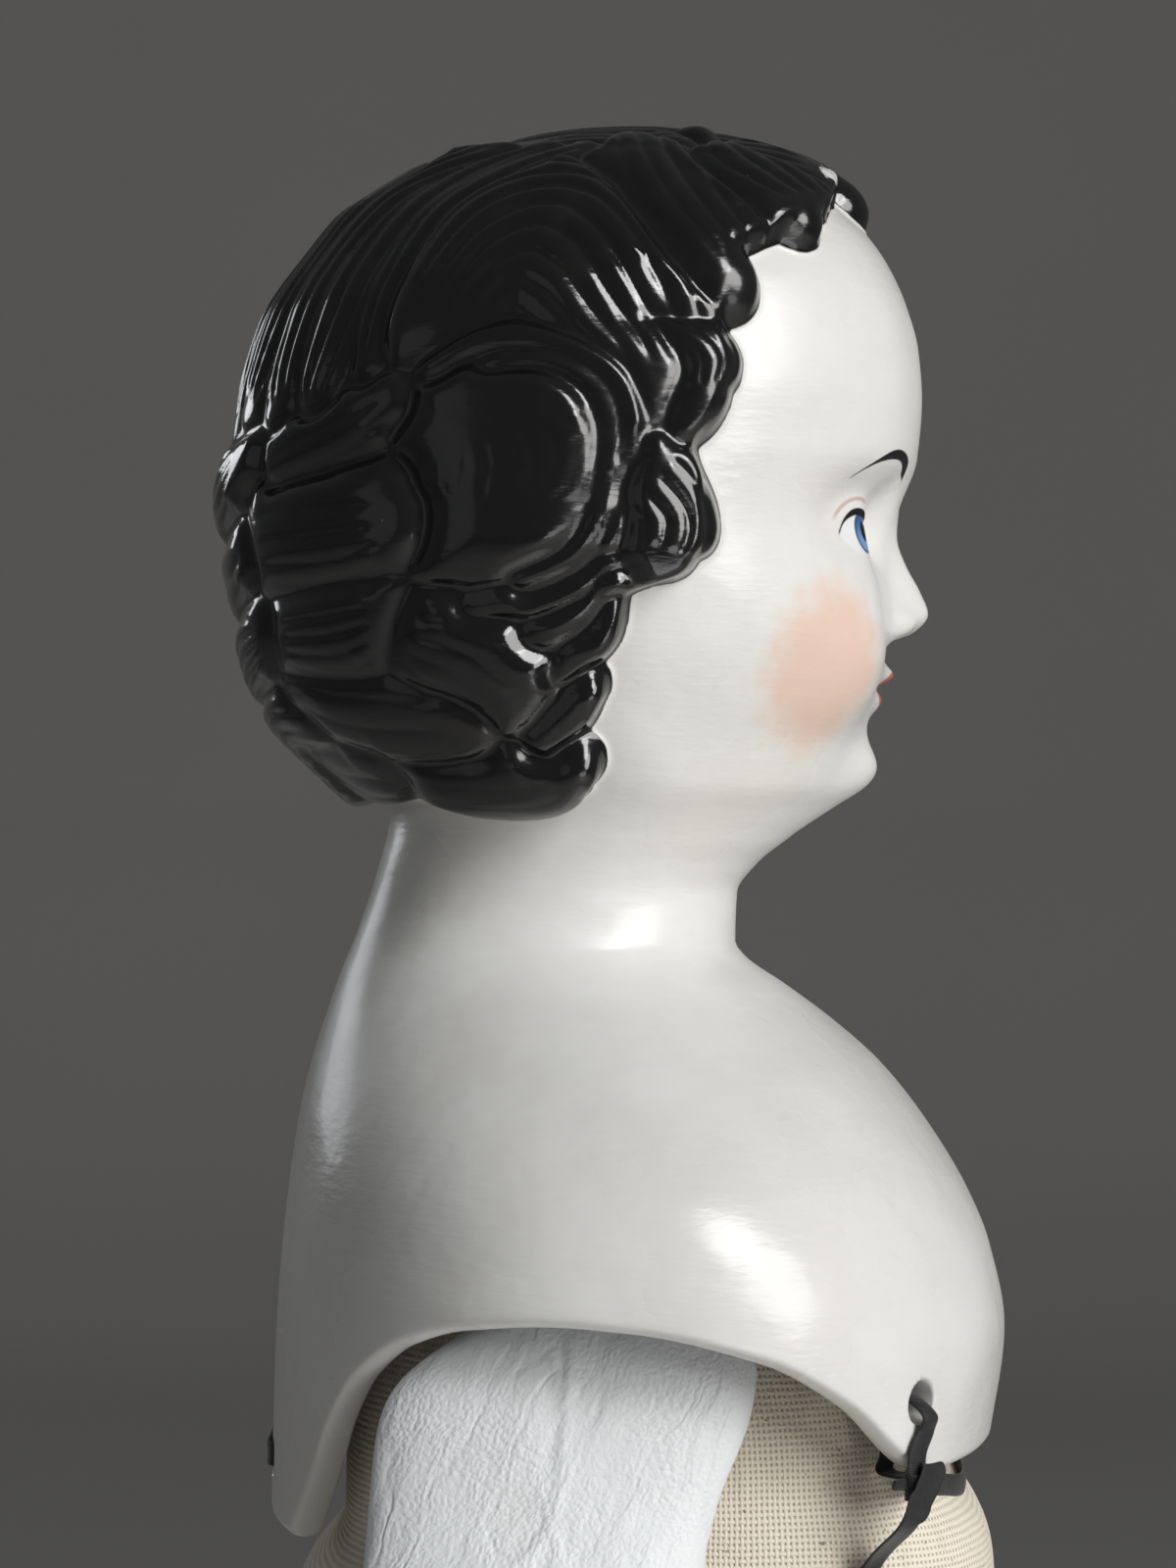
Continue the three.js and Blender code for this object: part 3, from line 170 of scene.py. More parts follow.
def stuffed(piece, stitched, slack=0.04, swell=0.3, sink=2.4):
    """Packs the sewn cloth from inside, so that it puckers off its flat seams but stays near its pattern."""
    frames, creep, seam_hold = 20, 1.5, 7
    before, outward = points_of(piece), normals_of(piece)
    piece.vertex_groups.new(name="stitched").add(stitched, 1, "REPLACE")
    cloth = piece.modifiers.new("packing", "CLOTH")
    cloth.collision_settings.use_collision = False
    cloth.settings.effector_weights.gravity = 0
    for name, value in {
        "quality": 6, "mass": 0.12, "vertex_group_mass": "stitched", "shrink_min": -slack,
        "tension_stiffness": 12, "compression_stiffness": 12, "shear_stiffness": 6,
        "bending_stiffness": 0.15, "use_pressure": True, "uniform_pressure_force": 4,
    }.items():
        setattr(cloth.settings, name, value)
    for number in range(1, frames + 1):
        bpy.context.scene.frame_set(number)
    shift = points_of(piece.evaluated_get(bpy.context.evaluated_depsgraph_get())) - before
    piece.modifiers.clear()
    bpy.context.scene.frame_set(1)
    out = np.einsum("ij,ij->i", shift, outward)
    along = shift - out[:, None] * outward
    reach = np.linalg.norm(along, axis=1, keepdims=True)
    along *= np.minimum(1, creep / np.maximum(reach, 1e-6))
    out = out - np.percentile(out, 90)
    off_seam = np.array([np.linalg.norm(before[stitched] - point, axis=1).min() for point in before])
    shift = along + np.clip(out, -sink, swell)[:, None] * outward
    moved_to(piece, before + step(0, seam_hold, off_seam)[:, None] * shift)
    refined(piece, 2)


def refined(piece, levels):
    finer = piece.modifiers.new("finer", "SUBSURF")
    finer.levels = finer.render_levels = levels
    settled(piece)


TRUNK_TOP = 181.0  # above the hip seam
trunk_front = drafted(
    (0.1, 0.4), (12, 9.8), (30, 24), (50, 29), (76, 28), (110, 35), (145, 41), (153, 40.5),
    (159.5, 35.3), (169, 34.8), (177, 30.8), (TRUNK_TOP, 16.8),
)
trunk_back = drafted(
    (0.1, 0.4), (12, 9.8), (30, 24.5), (50, 27.5), (76, 25.5), (139, 30.5), (146, 30), (151.5, 24.8),
    (166, 24.3), (177, 21.8), (TRUNK_TOP, 13.8),
)
trunk_half_width = drafted(
    (0, 46.5), (25, 47.5), (76, 35.5), (122, 36.5), (162, 36.5), (175, 31.5), (TRUNK_TOP, 20.5),
)
trunk_power = drafted((0, 2.2), (76, 2.3), (133, 3.5), (TRUNK_TOP, 3))


def trunk_at(angle, rise, off=0.0):
    half_width, front, back = (curve(rise) + off for curve in (trunk_half_width, trunk_front, trunk_back))
    across, back = section(half_width, front, back, angle, trunk_power(rise))
    return np.stack([across, back, rise + HIP + 0 * across], -1)


TRUNK_ROWS, TRUNK_COLUMNS, ROWS_UNDER_PLATE = 56, 76, 13
trunk_rises = np.linspace(0.45, TRUNK_TOP, TRUNK_ROWS)[:, None]
trunk = sewn_tube("trunk", trunk_at(ring_turns(TRUNK_COLUMNS), trunk_rises, -0.3))
trunk_stitches = stitched_rows(TRUNK_ROWS, TRUNK_COLUMNS, 1, ROWS_UNDER_PLATE)
stuffed(trunk, trunk_stitches, slack=0.03, swell=0.2, sink=1.3)

# The side seams draw the cloth in, with a pucker at each stitch.
points = points_of(trunk)
rise = points[:, 2] - HIP
off_seam = points[:, 1] - (trunk_back(rise) - trunk_front(rise)) / 2
pull = bump_at(off_seam, 1.1) * (1.1 + 0.25 * np.sin(2 * np.pi * rise / 3.2))
pull += 0.35 * bump_at(off_seam, 5) * (1 + np.sin(2 * np.pi * rise / 7.5 + 1.3 * np.sin(rise / 9)))
pull *= step(4, 16, rise) * (np.abs(points[:, 0]) > 0.5 * trunk_half_width(rise))
points[:, 0] -= np.sign(points[:, 0]) * pull
moved_to(trunk, points)


class Wire:
    """A socket in a finish. Sums of wires and numbers become Math nodes."""

    def __init__(self, tree, socket=None):
        self.tree, self.socket = tree, socket

    def node(self, kind, settings, sockets, out=0):
        made = self.tree.nodes.new("ShaderNode" + kind)
        for name, value in settings.items():
            setattr(made, name, value)
        for name, value in sockets.items():
            if isinstance(value, Wire):
                self.tree.links.new(value.socket, made.inputs[name])
            else:
                made.inputs[name].default_value = value
        return Wire(self.tree, made.outputs[out] if made.outputs else None)

    def sum(self, operation, first, second=0.0):
        return self.node("Math", {"operation": operation}, {0: first, 1: second})

    def __neg__(self):
        return self.sum("MULTIPLY", self, -1)

    def __abs__(self):
        return self.sum("ABSOLUTE", self)

    def __rsub__(self, other):
        return self.sum("SUBTRACT", other, self)


for sign, operation in {
    "add": "ADD", "radd": "ADD", "sub": "SUBTRACT", "mul": "MULTIPLY", "rmul": "MULTIPLY",
    "truediv": "DIVIDE", "pow": "POWER",
}.items():
    setattr(Wire, f"__{sign}__", lambda wire, other, operation=operation: wire.sum(operation, wire, other))


def new_finish(name):
    """A material's empty tree, with the place on the piece in millimetres, whole and in parts."""
    finish = bpy.data.materials.new(name)
    finish.use_nodes = True
    finish.node_tree.nodes.clear()
    start = Wire(finish.node_tree)
    place = start.node("TexCoord", {}, {}, out=3)
    place = start.node("VectorMath", {"operation": "SCALE"}, {0: place, "Scale": 1000})
    parts = [start.node("SeparateXYZ", {}, {0: place}, out=k) for k in range(3)]
    return finish, start, place, parts


def fade(value, low, high):
    """0 below low and 1 above high, or the other way round."""
    settings = {"interpolation_type": "SMOOTHSTEP"}
    if low > high:
        return 1 - value.node("MapRange", settings, {0: value, 1: high, 2: low})
    return value.node("MapRange", settings, {0: value, 1: low, 2: high})


def blotch(place, size, detail=3.0, stretch=(1, 1, 1)):
    """Cloudy noise around 0.5, with clouds of about that many millimetres."""
    spread = place.node("VectorMath", {"operation": "MULTIPLY"}, {0: place, 1: stretch})
    return place.node("TexNoise", {}, {"Vector": spread, "Scale": 1 / size, "Detail": detail})


def tint(share, under, over):
    return share.node(
        "Mix", {"data_type": "RGBA"}, {"Factor": share, "A": coloured(under), "B": coloured(over)}, out=2
    )


def coloured(colour):
    return colour if isinstance(colour, Wire) else (*colour, 1)


def surfaced(finish, start, height, depth, sockets):
    """Closes a finish: a relief in millimetres under a principled surface."""
    bump = start.node("Bump", {}, {"Height": height, "Distance": depth / 1000})
    shader = start.node("BsdfPrincipled", {}, {**sockets, "Normal": bump})
    start.node("OutputMaterial", {}, {"Surface": shader})
    return finish


def woven_muslin(name, girth, warp=0.42, weft=0.62):
    """Plain weave in cream cotton, with slubs, brown flecks, soiling and painted shade in the gaps between
    threads. Girth is the piece's radius.
    """
    finish, start, place, (x, y, z) = new_finish(name)
    turn = start.sum("ARCTAN2", x, -y)
    wander = blotch(place, 9, 2) * 0.5
    around = start.sum("SINE", (turn * girth + wander) * (math.pi / warp))
    along = start.sum("SINE", (z + wander) * (math.pi / weft))
    over, ends, picks = around * along, abs(around), abs(along)
    thread = start.sum("MAXIMUM", ends * (0.72 + 0.28 * over), picks * (0.72 - 0.28 * over))
    slub = fade(blotch(place, 3.2, 2, (1, 1, 0.12)), 0.56, 0.72)
    fleck = fade(blotch(place, 0.75, 1), 0.745, 0.78)
    soil = fade(blotch(place, 26, 4), 0.42, 0.72)
    # Where the threads part, the cloth dips and its colour is painted darker brown: painted shade in the
    # gaps.
    gap = fade(start.sum("MAXIMUM", ends, picks), 0.72, 0.3)
    cloth = tint(gap * 0.5, (0.9, 0.83, 0.69), (0.42, 0.34, 0.235))
    cloth = tint(slub * 0.35, cloth, (0.76, 0.68, 0.54))
    cloth = tint(soil * 0.2, cloth, (0.55, 0.45, 0.31))
    cloth = tint(fleck * 0.7, cloth, (0.16, 0.09, 0.045))
    relief = thread * 0.7 - gap * 0.6 + slub * 0.5
    sockets = {
        "Base Color": cloth,
        "Roughness": 0.88 - slub * 0.08,
        "Sheen Weight": 0.15,
        "Sheen Roughness": 0.5,
    }
    return surfaced(finish, start, relief, 0.16, sockets)


trunk.data.materials.append(woven_muslin("trunk_muslin", 34))
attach(trunk, "torso")
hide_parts("torso_front_panel", "torso_back_panel", "torso_stuffing")

# Legs: each is a muslin thigh and a muslin shin with its foot, stuffed on their own and sewn together flat
# at the knee. The thigh is sewn flat to the trunk, so hip and knee fold on their stitches.
KNEE = 128.0
LEGS_ACROSS = {"left": 22.5, "right": -22.5}
LEG_COLUMNS, THIGH_ROWS, SHIN_ROWS, SOLE_ROWS = 44, 45, 42, 4
thigh_depth = drafted(
    (128.45, 0.4), (140, 8.4), (158, 15.5), (205, 20), (223, 21.5), (240, 19), (256, 9.6), (267.55, 0.4)
)
thigh_half_width = drafted((128, 15), (158, 16.5), (218, 20.7), (268, 21.3))
shin_front = drafted(
    (0, 41), (1.4, 42.2), (5, 43), (10, 40), (18, 30), (26, 18), (35, 13), (54, 13), (98, 13.5), (116, 8.4),
    (127.55, 0.4),
)
shin_back = drafted(
    (0, 13), (6, 14.5), (26, 11.5), (36, 11), (68, 15), (94, 16), (116, 8.4), (127.55, 0.4)
)
shin_half_width = drafted((0, 12.5), (1.4, 13.4), (7, 14), (24, 11.8), (36, 11), (94, 15), (128, 15))


def leg_tube(name, half_width, front, back, heights, across):
    heights = heights[:, None]
    x, y = section(half_width(heights) - 0.25, front(heights), back(heights), ring_turns(LEG_COLUMNS))
    place = Matrix.Translation((across / 1000, MIDDLE_SETBACK / 1000, 0))
    return sewn_tube(name, np.stack([x, y, heights + 0 * x], -1), place)


def back_seam(piece, low, high, depth=0.9):
    """Draws a limb in along the seam up its back, with a pucker at each stitch."""
    points = points_of(piece)
    x, y, z = points.T
    pull = depth * bump_at(x, 0.9) * (1 + 0.25 * np.sin(2 * np.pi * z / 3))
    pull += 0.25 * bump_at(x, 4) * (1 + np.sin(2 * np.pi * z / 6.4 + np.sin(z / 7)))
    points[:, 1] -= pull * step(2, 6, y) * step(low, low + 9, z) * step(-high, 9 - high, -z)
    moved_to(piece, points)


thigh_heights = np.linspace(128.45, 267.55, THIGH_ROWS)
shin_heights = np.concatenate([[0, 0.7, 1.6, 3], np.linspace(5.5, 127.55, SHIN_ROWS)])
for side, across in LEGS_ACROSS.items():
    thigh = leg_tube(f"{side}_thigh", thigh_half_width, thigh_depth, thigh_depth, thigh_heights, across)
    stuffed(thigh, stitched_rows(THIGH_ROWS, LEG_COLUMNS, 1, 1))
    back_seam(thigh, 130, 266)
    shin = leg_tube(f"{side}_shin", shin_half_width, shin_front, shin_back, shin_heights, across)
    stuffed(shin, stitched_rows(SOLE_ROWS + SHIN_ROWS, LEG_COLUMNS, SOLE_ROWS, 1, ends=[0]))
    back_seam(shin, 8, 126)
    points = points_of(shin)
    points[:, 2] = np.maximum(points[:, 2], 0)
    moved_to(shin, points)
    for piece, body in ((thigh, f"{side}_thigh"), (shin, f"{side}_shin")):
        piece.data.materials.append(woven_muslin(f"{piece.name}_muslin", 16))
        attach(piece, body)
        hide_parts(f"{body}_muslin", f"{body}_stuffing")

# Fold strips: a narrow tape of doubled muslin or leather runs along each stitched fold, from one stuffed
# piece to the next.


def fold_strip(name, half_width, finish, place):
    """Flat tape over a fold, at the origin of its place."""
    rises = np.array([-1.9, -1.5, -1, -0.5, -0.2, 0.2, 0.5, 1, 1.5, 1.9])[:, None]
    swell = 0.62 + 0.2 * np.cos(np.pi * rises / rises.max()) ** 2
    x, y = section(half_width, swell, swell, ring_turns(96), 2.6)
    z = rises + 0.12 * np.sin(x * 2 * np.pi / 2.4)
    tape = sewn_tube(name, np.stack([x, y, z], -1), place)
    tape.data.materials.append(finish)
    start, end = place @ Vector((0, 0, 0.0012)), place @ Vector((0, 0, -0.0012))
    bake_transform(tape)
    return tape


for side, across in LEGS_ACROSS.items():
    for name, height, half_width, a, b in (
        ("hip_fold", HIP, 20.8, "torso", f"{side}_thigh"),
        ("knee_fold", KNEE, 14.6, f"{side}_thigh", f"{side}_shin"),
    ):
        place = Matrix.Translation((across / 1000, MIDDLE_SETBACK / 1000, height / 1000))
        finish = woven_muslin(f"{side}_{name}_muslin", 16)
        fold_strip(f"{side}_{name}", half_width, finish, place)

# Arms: white kid leather, grainy and creased, stuffed in two lengths that fold at the elbow. The shoulder
# end lies flat against the trunk under the arch of the plate, and the hand has four fingers and a thumb.
SHOULDER = Vector((36.5, 3.0, 430.5))
SPLAY, TILT = math.radians(8), math.radians(6)
ARM_TOP, ELBOW, WRIST, PALM = 20.0, -88.0, -160.0, -187.0
ARM_MIDDLE = 9.5
UPPER_ROWS, LOWER_ROWS, ARM_COLUMNS = 38, 36, 40
upper_arm_depth = drafted(
    (-87.55, 0.4), (-79, 7), (-66, 14.2), (-35.2, 16.4), (-10, 17.8), (ARM_TOP, 17.8)
)
arm_top_front = drafted((-39.6, 0), (-8, 2.4), (6, 0), (11, -0.2), (15, 3), (18, 7), (20, 12))
arm_top_back = drafted((1, 0), (5.5, 1.8), (8.5, 4.6), (11, 7.6), (14, 10.8), (17, 13.2), (20, 15.5))
upper_arm_half_width = drafted(
    (-88, 9.5), (-68, 10.6), (-39.6, 11), (-22, 8.8), (-6, 5.35), (8, 4.35), (15, 3.15), (20, 1.95)
)
forearm_depth = drafted(
    (-187, 10), (-182, 11.4), (-170, 10.4), (-160, 7.4), (-148, 8.6), (-116, 12.8), (-97, 6.8), (-88.45, 0.4)
)
forearm_half_width = drafted((-187, 3.6), (-182, 4.4), (-170, 5), (-160, 6.4), (-118, 10.2), (-88, 9.5))


def kid_leather(name, reach):
    """White kid: fine pebbled grain, soft creases that run down the limb with painted shade in their furrows,
    a sheen and grey handling marks.
    """
    finish, start, place, (x, y, z) = new_finish(name)
    warp = blotch(place, 7, 2)
    bent = {0: x + warp * 2.4, 1: y + warp * 3 + z * 0.3, 2: z * 0.9 + warp * 2}
    bend = start.node("CombineXYZ", {}, bent)
    pebble = start.node("TexVoronoi", {}, {"Vector": bend, "Scale": 2.1})
    fine = blotch(place, 0.4, 3)
    rough_side = fade(blotch(place, 11, 2), 0.35, 0.6)
    crease = blotch(bend, 3.4, 3, (1, 1, 0.2))
    # Furrows: thin dented lines, painted a darker grey as painted shade in the creases.
    shaded_furrow = fade(abs(blotch(bend, 5.5, 2, (1, 1, 0.25)) - 0.5), 0.05, 0)
    marks = fade(blotch(place, 16, 4), 0.55, 0.8)
    hide = tint(marks * 0.3, (0.83, 0.855, 0.87), (0.72, 0.72, 0.71))
    hide = tint(shaded_furrow * 0.12, hide, (0.60, 0.625, 0.65))
    relief = (1 - pebble) * (0.15 + 0.35 * rough_side) + fine * 0.35 + crease * 2.2 - shaded_furrow * 0.3
    sockets = {"Base Color": hide, "Roughness": 0.44 + fine * 0.16, "Sheen Weight": 0.08, "Coat Weight": 0.06}
    return surfaced(finish, start, relief, reach, sockets)


def creased(piece, amount=0.15):
    """Works soft creases into the hide, which run down the limb and wander."""
    points, outward = points_of(piece), normals_of(piece)
    x, y, z = points.T
    turn = np.arctan2(x - ARM_MIDDLE, -y) * 13
    lean = turn + 0.28 * z + 1.7 * np.sin(z / 8.3 + turn / 11) + 0.9 * np.sin(z / 3.7 + 2)
    long = np.sin(lean / 1.55 + 1.2 * np.sin(z / 13)) * (0.6 + 0.4 * np.sin(z / 9 + turn / 5))
    wide = np.sin(lean / 5.3 + 1.1 * np.sin(z / 17 + 1)) * np.sin(z / 11 + turn / 9)
    relief = amount * (0.6 * long + wide)
    moved_to(piece, points + (relief - 0.15)[:, None] * outward)


def arm_place(side):
    """The arm's own frame in the doll: origin on the shoulder seat, X out of the seat, Z up the arm."""
    turn = Matrix.Rotation(TILT, 4, "X") @ Matrix.Rotation(-SPLAY, 4, "Y")
    origin = Vector((SHOULDER.x, SHOULDER.y + MIDDLE_SETBACK, SHOULDER.z)) / 1000
    place = Matrix.Translation(origin) @ turn
    return place if side > 0 else Matrix.Scale(-1, 4, (1, 0, 0)) @ place


def right_handed(piece):
    """A mirrored piece with the mirroring worked into its mesh, so that its faces look out."""
    mirror = Matrix.Scale(-1, 4, (1, 0, 0))
    piece.data.transform(mirror)
    piece.data.flip_normals()
    piece.matrix_world = piece.matrix_world @ mirror


def finger(name, length, ahead, lean, height, place, radius=2.5):
    """A leather finger tube with a blunt tip, slightly fuller at the joints."""
    share = np.concatenate([np.linspace(0, 0.82, 18), 0.82 + 0.18 * np.sin(np.linspace(0.15, 1.5, 8))])
    tip = np.sqrt(np.clip(1 - ((share - 0.82) / 0.18).clip(0) ** 2, 0.02, 1))
    girth = radius * tip * (1 - 0.12 * share + 0.06 * np.cos(share * 14))
    turns = ring_turns(20)
    down = (length * share)[:, None]
    curl = (2.2 * share**2)[:, None]
    x = ARM_MIDDLE - curl + girth[:, None] * np.sin(turns)
    y = -ahead - math.sin(lean) * down - girth[:, None] * np.cos(turns)
    z = height - math.cos(lean) * down + 0 * turns
    return sewn_tube(name, np.stack([x, y, z], -1), place)


def joined(pieces):
    with bpy.context.temp_override(active_object=pieces[0], selected_editable_objects=pieces):
        bpy.ops.object.join()
    return pieces[0]


def joined_skin(pieces, grain):
    """Several closed skins as one, run together where they meet."""
    first = joined(pieces)
    weld = first.modifiers.new("weld", "REMESH")
    weld.mode = "VOXEL"
    weld.voxel_size = grain / 1000
    smooth = first.modifiers.new("smooth", "SMOOTH")
    smooth.factor, smooth.iterations = 0.5, 8
    settled(first)
    faced_out(first)
    return first


upper_heights = np.linspace(-87.55, ARM_TOP, UPPER_ROWS)[:, None]
lower_heights = np.linspace(PALM, -88.45, LOWER_ROWS)[:, None]
arm_turns = ring_turns(ARM_COLUMNS)
upper_stitches = stitched_rows(UPPER_ROWS, ARM_COLUMNS, 1, 6, ends=[1])
lower_stitches = stitched_rows(LOWER_ROWS, ARM_COLUMNS, 11, 1)
upper_leather = kid_leather("upper_arm_kid", 0.2)
lower_leather = kid_leather("forearm_kid", 0.18)
for side, sign in (("left", 1), ("right", -1)):
    place = arm_place(sign)
    z = upper_heights
    width = upper_arm_half_width(z)
    front = upper_arm_depth(z) - arm_top_front(z)
    back = upper_arm_depth(z) - arm_top_back(z)
    x, y = section(width - 0.3, front, back, arm_turns, 2.2, width)
    upper_arm = sewn_tube(f"{side}_upper_arm", np.stack([x, y, z + 0 * x], -1), place)
    stuffed(upper_arm, upper_stitches, slack=0.05, sink=0.8)
    refined(upper_arm, 1)
    creased(upper_arm)

    z = lower_heights
    depth = forearm_depth(z)
    x, y = section(forearm_half_width(z), depth, depth, arm_turns, 2.2, ARM_MIDDLE)
    forearm = sewn_tube(f"{side}_forearm", np.stack([x, y, z + 0 * x], -1), place)
    stuffed(forearm, lower_stitches, slack=0.05, sink=1.0)
    digits = [
        finger(f"{side}_digit_{i}", length, ahead, lean, PALM + 3.3, place)
        for i, (ahead, length, lean) in enumerate(
            ((7.3, 18.4, 0.09), (2.4, 22.4, 0.03), (-2.6, 21.4, -0.04), (-7.2, 17.4, -0.11))
        )
    ]
    digits.append(finger(f"{side}_thumb", 17.4, 8.6, 0.35, WRIST - 8, place))
    forearm = joined_skin([forearm, *digits], 0.8)
    creased(forearm, 0.1)

    for piece, body, hide in (
        (upper_arm, f"{side}_upper_arm", upper_leather),
        (forearm, f"{side}_forearm", lower_leather),
    ):
        if sign < 0:
            right_handed(piece)
        piece.data.materials.append(hide)
        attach(piece, body)
        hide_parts(f"{body}_leather", f"{body}_stuffing")
    fold_place = place @ Matrix.Translation((ARM_MIDDLE / 1000, 0, ELBOW / 1000))
    a, b = f"{side}_upper_arm", f"{side}_forearm"
    fold = fold_strip(f"{side}_elbow_fold", 9.2, lower_leather, fold_place)
    if sign < 0:
        fold.data.flip_normals()

# Shoulder head: one hollow, glazed casting of white china, with moulded curls that are painted black. Face,
# neck and shoulder plate are one piece, and the plate is arched over the arms and pierced to be tied on.
# Heights are above the plate's lowest edge, behind.
SKULL_TOP, PLATE_TOP, CHINA_WALL = 137.2, 57.0, 3.5
face_mask = drafted(
    (8, 40.5), (19, 42), (27, 40.5), (32, 38.5), (38, 35), (44.5, 30), (49, 25), (52.7, 20), (55.5, 16),
    (57, 15), (62, 15.2), (65, 17.3), (67.5, 20.4), (70.5, 24.2), (73, 26.4), (78, 27.8), (84, 29.4),
    (90, 30.1), (97, 30.6), (101.5, 32), (106, 33.5), (112, 34), (117, 33.6), (121, 32.5), (125.5, 30.5),
    (129.5, 27.5), (133, 23.2), (135.2, 17.5), (136.5, 10), (SKULL_TOP, 2),
)
head_back = drafted(
    (0, 32), (13, 31.7), (23, 31.2), (40, 29.2), (53, 25.5), (58, 23.5), (64, 21.5), (71, 20), (75, 24),
    (82, 30.5), (92, 33), (102, 34), (110, 33), (118, 31), (125, 26.3), (128.7, 23.2), (131.3, 19.5),
    (134.2, 14.5), (136.1, 8), (SKULL_TOP, 2),
)
head_half_width = drafted(
    (0, 51), (24, 52), (29, 51), (34, 49), (39, 45), (44, 39), (49, 31), (53, 24.3), (57, 19.8), (61, 18.8),
    (68, 20.8), (74, 24.3), (80, 27), (88, 29.5), (98, 31), (110, 31), (119, 29), (126, 25.5), (131, 20.5),
    (134.5, 14), (136.4, 7.5), (SKULL_TOP, 2),
)
face_power = drafted(
    (60, 2.2), (66, 2.0), (71, 1.75), (76, 1.75), (82, 1.95), (90, 2.05), (98, 1.95), (106, 1.92),
    (114, 2.02), (122, 2.2),
)
nose_rise = drafted(
    (86.6, 0), (87.4, 0.7), (88.4, 3.15), (90.2, 4.5), (92.5, 3.6), (95, 2.15), (97.5, 1), (101, 0)
)
nose_half_width = drafted((87, 4.4), (90, 4), (95, 2.7), (100, 2.4))
FACE = (  # across, height, reach across, reach up, rise
    (4.0, 89.0, 1.7, 1.6, 1.1),  # nostril wing
    (0.0, 84.0, 5.2, 1.2, 1.6),  # upper lip
    (0.0, 81.3, 4.6, 1.2, 1.0),  # lower lip
    (0.0, 82.8, 6.0, 0.6, -0.7),  # parting of the lips
    (0.0, 74.2, 6.0, 3.2, 2.5),  # chin
    (16.0, 84.5, 8.5, 9.0, 3.1),  # cheek
    (13.5, 100.2, 7.5, 4.5, -2.8),  # eye socket
    (13.0, 98.4, 3.6, 2.7, 1.5),  # eyeball
    (7.6, 98.6, 2.5, 3.8, -2.0),  # hollow by the bridge
    (13.0, 105.0, 8.0, 2.4, 0.5),  # brow
)
LID_ACROSS, LID_HEIGHT, LID_RADIUS = 12.9, 95.9, 4.1  # the upper lid is an arc


def face_rise(across, height):
    rise = nose_rise(height) * bump_at(across, nose_half_width(height))
    for x, z, reach_x, reach_z, amount in FACE:
        rise = rise + amount * bump_at(np.abs(across) - x, reach_x) * bump_at(height - z, reach_z)
    over_lid = np.hypot(np.abs(across) - LID_ACROSS, height - LID_HEIGHT) - LID_RADIUS
    lid = 0.35 * step(-0.3, 0.3, over_lid) * bump_at(over_lid, 1.6) * step(96.5, 98.5, height)
    return rise + lid


